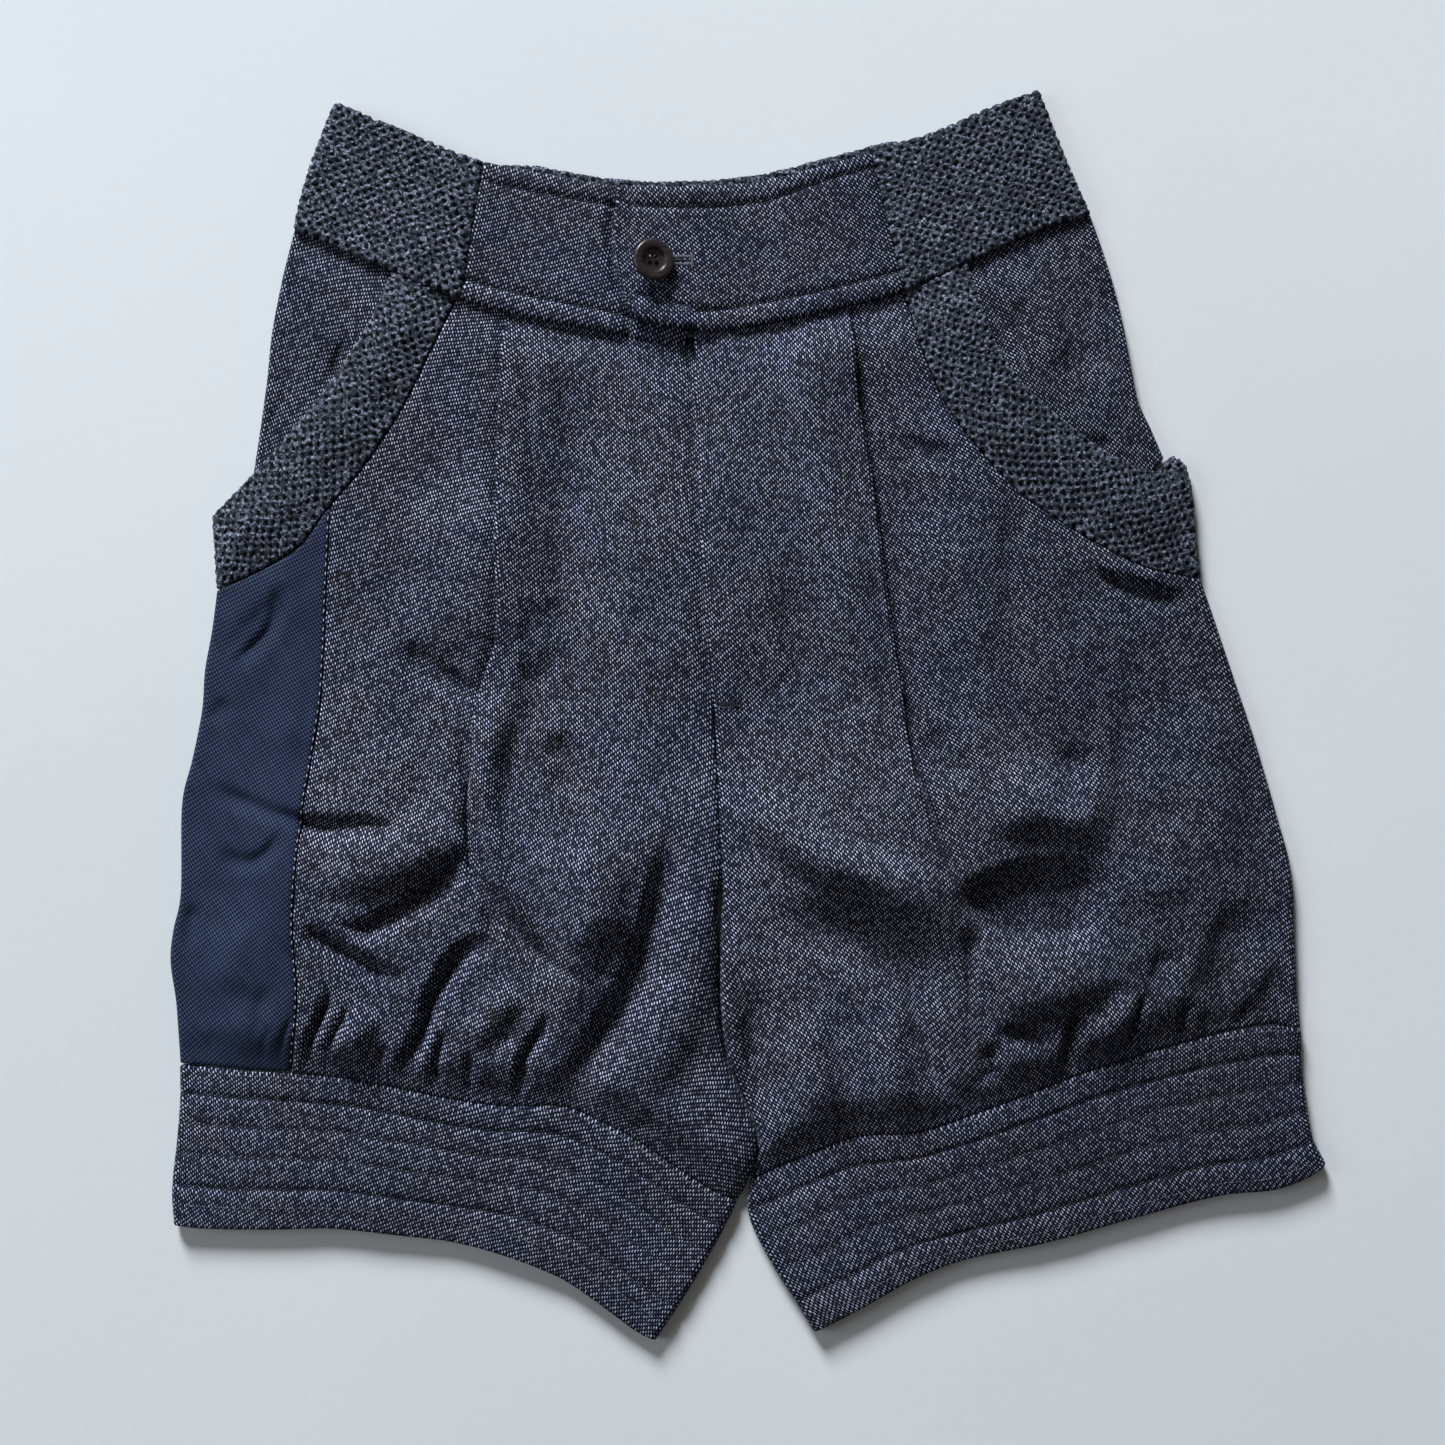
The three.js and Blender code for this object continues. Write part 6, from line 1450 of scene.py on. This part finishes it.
profile = [(0, 0.25), (4.0, 0.12), (6.6, 0.0), (7.9, 0.18), (8.8, 0.75), (9.3, 1.5), (9.46, 2.2), (9.36, 2.85), (9.02, 3.32), (8.5, 3.56), (7.8, 3.62),
           (7.0, 3.55), (6.2, 3.46), (5.8, 3.36), (5.5, 3.1), (5.32, 2.6), (5.2, 2.1), (5.0, 1.8), (4.6, 1.68), (3.4, 1.6), (1.6, 1.56), (0, 1.55)]
points, faces = lathe(profile, 96)
button = add_mesh("button_four_hole", points - SHIFT, faces)
cutters = []
for i, j in ((-1, -1), (-1, 1), (1, -1), (1, 1)):
    bpy.ops.mesh.primitive_cylinder_add(vertices=32, radius=0.00104, depth=0.01, location=(i * 0.00156, j * 0.00156, 0.002))
    cutters.append(bpy.context.object)
for k, cutter in enumerate(cutters):
    modifier = button.modifiers.new("hole_%d" % k, "BOOLEAN")
    modifier.operation, modifier.solver, modifier.object = "DIFFERENCE", "EXACT", cutter
bpy.context.view_layer.update()
cut = bpy.data.meshes.new_from_object(button.evaluated_get(bpy.context.evaluated_depsgraph_get()))
button.modifiers.clear()
button.data = cut
for cutter in cutters:
    bpy.data.objects.remove(cutter, do_unlink=True)
scale = Matrix.Diagonal((0.001, 0.001, 0.001, 1))
seat_metres = Matrix.Translation(Vector(((BUTTON["x"] + SHIFT[0]) / 1000, (BUTTON["y"] + SHIFT[1]) / 1000, SEAT / 1000))) @ Matrix.Rotation(TILT, 4, AXIS)
cut.transform(seat_metres)
cut.polygons.foreach_set("use_smooth", np.ones(len(cut.polygons), bool))
cut.set_sharp_from_angle(angle=math.radians(38))
dress(button, "horn", "button")


def on_button(p):
    return np.array([list(stand @ Vector(tuple(float(c) for c in q))) for q in p])


strands = []
for i, j in ((-1, -1), (-1, 1), (1, -1), (1, 1)):
    for k in (-0.28, 0.28):
        top = np.array([i * 1.56 + k, j * 1.56 - k, 0.9])
        low = np.array([i * 0.8 + k, j * 0.8 - k, -2.5])
        strands.append(on_button([mix(low, top, t) for t in np.linspace(0, 1, 6)]))
wrap = []
for turn in range(5):
    a_ = np.linspace(0, 2 * np.pi, 17)
    wrap.append(on_button(np.stack([1.45 * np.cos(a_), 1.45 * np.sin(a_), -2.1 + turn * 0.42 + 0.42 * a_ / (2 * np.pi)], 1)))
piece = tubes("button_thread_strands", strands, 0.3)
dress(piece, "dark_thread", "button_thread")
piece = tubes("button_shank", wrap, 0.25)
dress(piece, "dark_thread")

# ------------------------------------------------------------------ fuzz
hairs = []
for name, many, long_ in (("knit_welt_right", 160, 2.2), ("knit_welt_left", 160, 2.2), ("knit_band_right", 140, 2.2), ("knit_band_left", 140, 2.2), ("knit_band_back", 100, 2.0),
                          ("wool_cuff_front_right", 90, 1.8), ("wool_cuff_front_left", 90, 1.8), ("wool_front_left", 130, 1.8), ("wool_front_right", 90, 1.8)):
    top, normal = made[name]["top"], made[name]["n"]
    rows, cols = top.shape[:2]
    r = rng.integers(2, rows - 2, many)
    c = rng.integers(2, cols - 2, many)
    if name == "knit_band_back":
        r = rng.integers(1, 4, many)
    root, out = top[r, c], normal[r, c]
    lie = unit(rng.normal(size=(many, 3)) + 0.2 * out)
    bend = unit(rng.normal(size=(many, 3)))
    size = long_ * rng.uniform(0.5, 1.3, (many, 1))
    t = np.linspace(0, 1, 6)
    path = root[:, None] + (out * size * 0.35)[:, None] * np.sin(t * 2.4)[None, :, None] + (lie * size)[:, None] * t[None, :, None] + (bend * size * 0.35)[:, None] * (t ** 2)[None, :, None]
    path = path - 0.08 * out[:, None]
    path[..., 2] = np.maximum(path[..., 2], 0.15)
    keep = (normal[r, c, 2] > 0.1) | (rng.uniform(size=many) < 0.4)
    hairs.append(path[keep])
piece = tubes("wool_fuzz", np.concatenate(hairs), [0.055, 0.05, 0.045, 0.04, 0.03, 0.02], sides=3)
dress(piece, "fuzz")

# ------------------------------------------------------------------ what each piece lies on
BENEATH = {
    "wool_front_right": ["wool_back_right"], "wool_front_left": ["wool_back_left", "wool_front_right"], "navy_side_panel": ["wool_back_right"],
    "wool_yoke_right": ["wool_back_right"], "wool_yoke_left": ["wool_back_left"], "knit_welt_right": ["wool_yoke_right", "wool_back_right"],
    "knit_welt_left": ["wool_yoke_left", "wool_back_left"], "knit_band_right": ["knit_band_back"], "knit_band_left": ["knit_band_back"],
    "wool_band_right": ["knit_band_back"], "wool_band_left": ["knit_band_back", "wool_band_right"], "knit_band_back": ["floor"], "wool_back_right": ["floor"],
    "wool_back_left": ["floor"], "wool_cuff_front_right": ["wool_cuff_back_right"], "wool_cuff_front_left": ["wool_cuff_back_left"],
    "wool_cuff_back_right": ["floor"], "wool_cuff_back_left": ["floor"],
}

# ------------------------------------------------------------------ camera, light, floor
VIEW_MM, LOOK = 656.8, (-0.01175, -0.00336)
floor = add_mesh("floor", np.array([(-3000, -3000, 0), (3000, -3000, 0), (3000, 3000, 0), (-3000, 3000, 0)], float), np.array([[0, 1, 2, 3]]), smooth=False)
floor.data.materials.append(mats["floor"])

for name, under in BENEATH.items():
    facts = made[name]

camera_data = bpy.data.cameras.new("camera")
camera = bpy.data.objects.new("camera", camera_data)
bpy.context.scene.collection.objects.link(camera)
camera.location = (LOOK[0], LOOK[1], 1.108)
camera.rotation_euler = (0, 0, 0)
camera_data.sensor_fit = "HORIZONTAL"
camera_data.sensor_width = 36
camera_data.lens = 36 * 1.1 / (VIEW_MM / 1000)
camera_data.clip_start = 0.05
bpy.context.scene.camera = camera


def lamp(name, place, aim, size, power, colour):
    data = bpy.data.lights.new(name, "AREA")
    data.shape, data.size, data.energy, data.color = "DISK", size, power, colour
    obj = bpy.data.objects.new(name, data)
    obj.location = place
    obj.rotation_euler = (Vector(aim) - Vector(place)).to_track_quat("-Z", "Y").to_euler()
    bpy.context.scene.collection.objects.link(obj)


lamp("key", (-1.7, 5.0, 2.45), (0, 0, 0), 1.9, 625, (0.92, 0.965, 1.0))
lamp("side", (-3.5, 0.26, 2.2), (0, 0, 0), 2.3, 42, (0.86, 0.93, 1.0))
world = bpy.data.worlds.new("studio")
bpy.context.scene.world = world
world.use_nodes = True
world.node_tree.nodes["Background"].inputs["Color"].default_value = (1.0, 0.94, 0.87, 1)
world.node_tree.nodes["Background"].inputs["Strength"].default_value = 0.12
bpy.context.scene.view_settings.view_transform = "Standard"

for name, facts in made.items():
    print(f"{name}: {facts['tris']} triangles, {facts['area']:.4f} m2, {facts.get('wide', 0):.3f} x {facts.get('tall', 0):.3f} m")
print("triangles in all", sum(f["tris"] for f in made.values()))
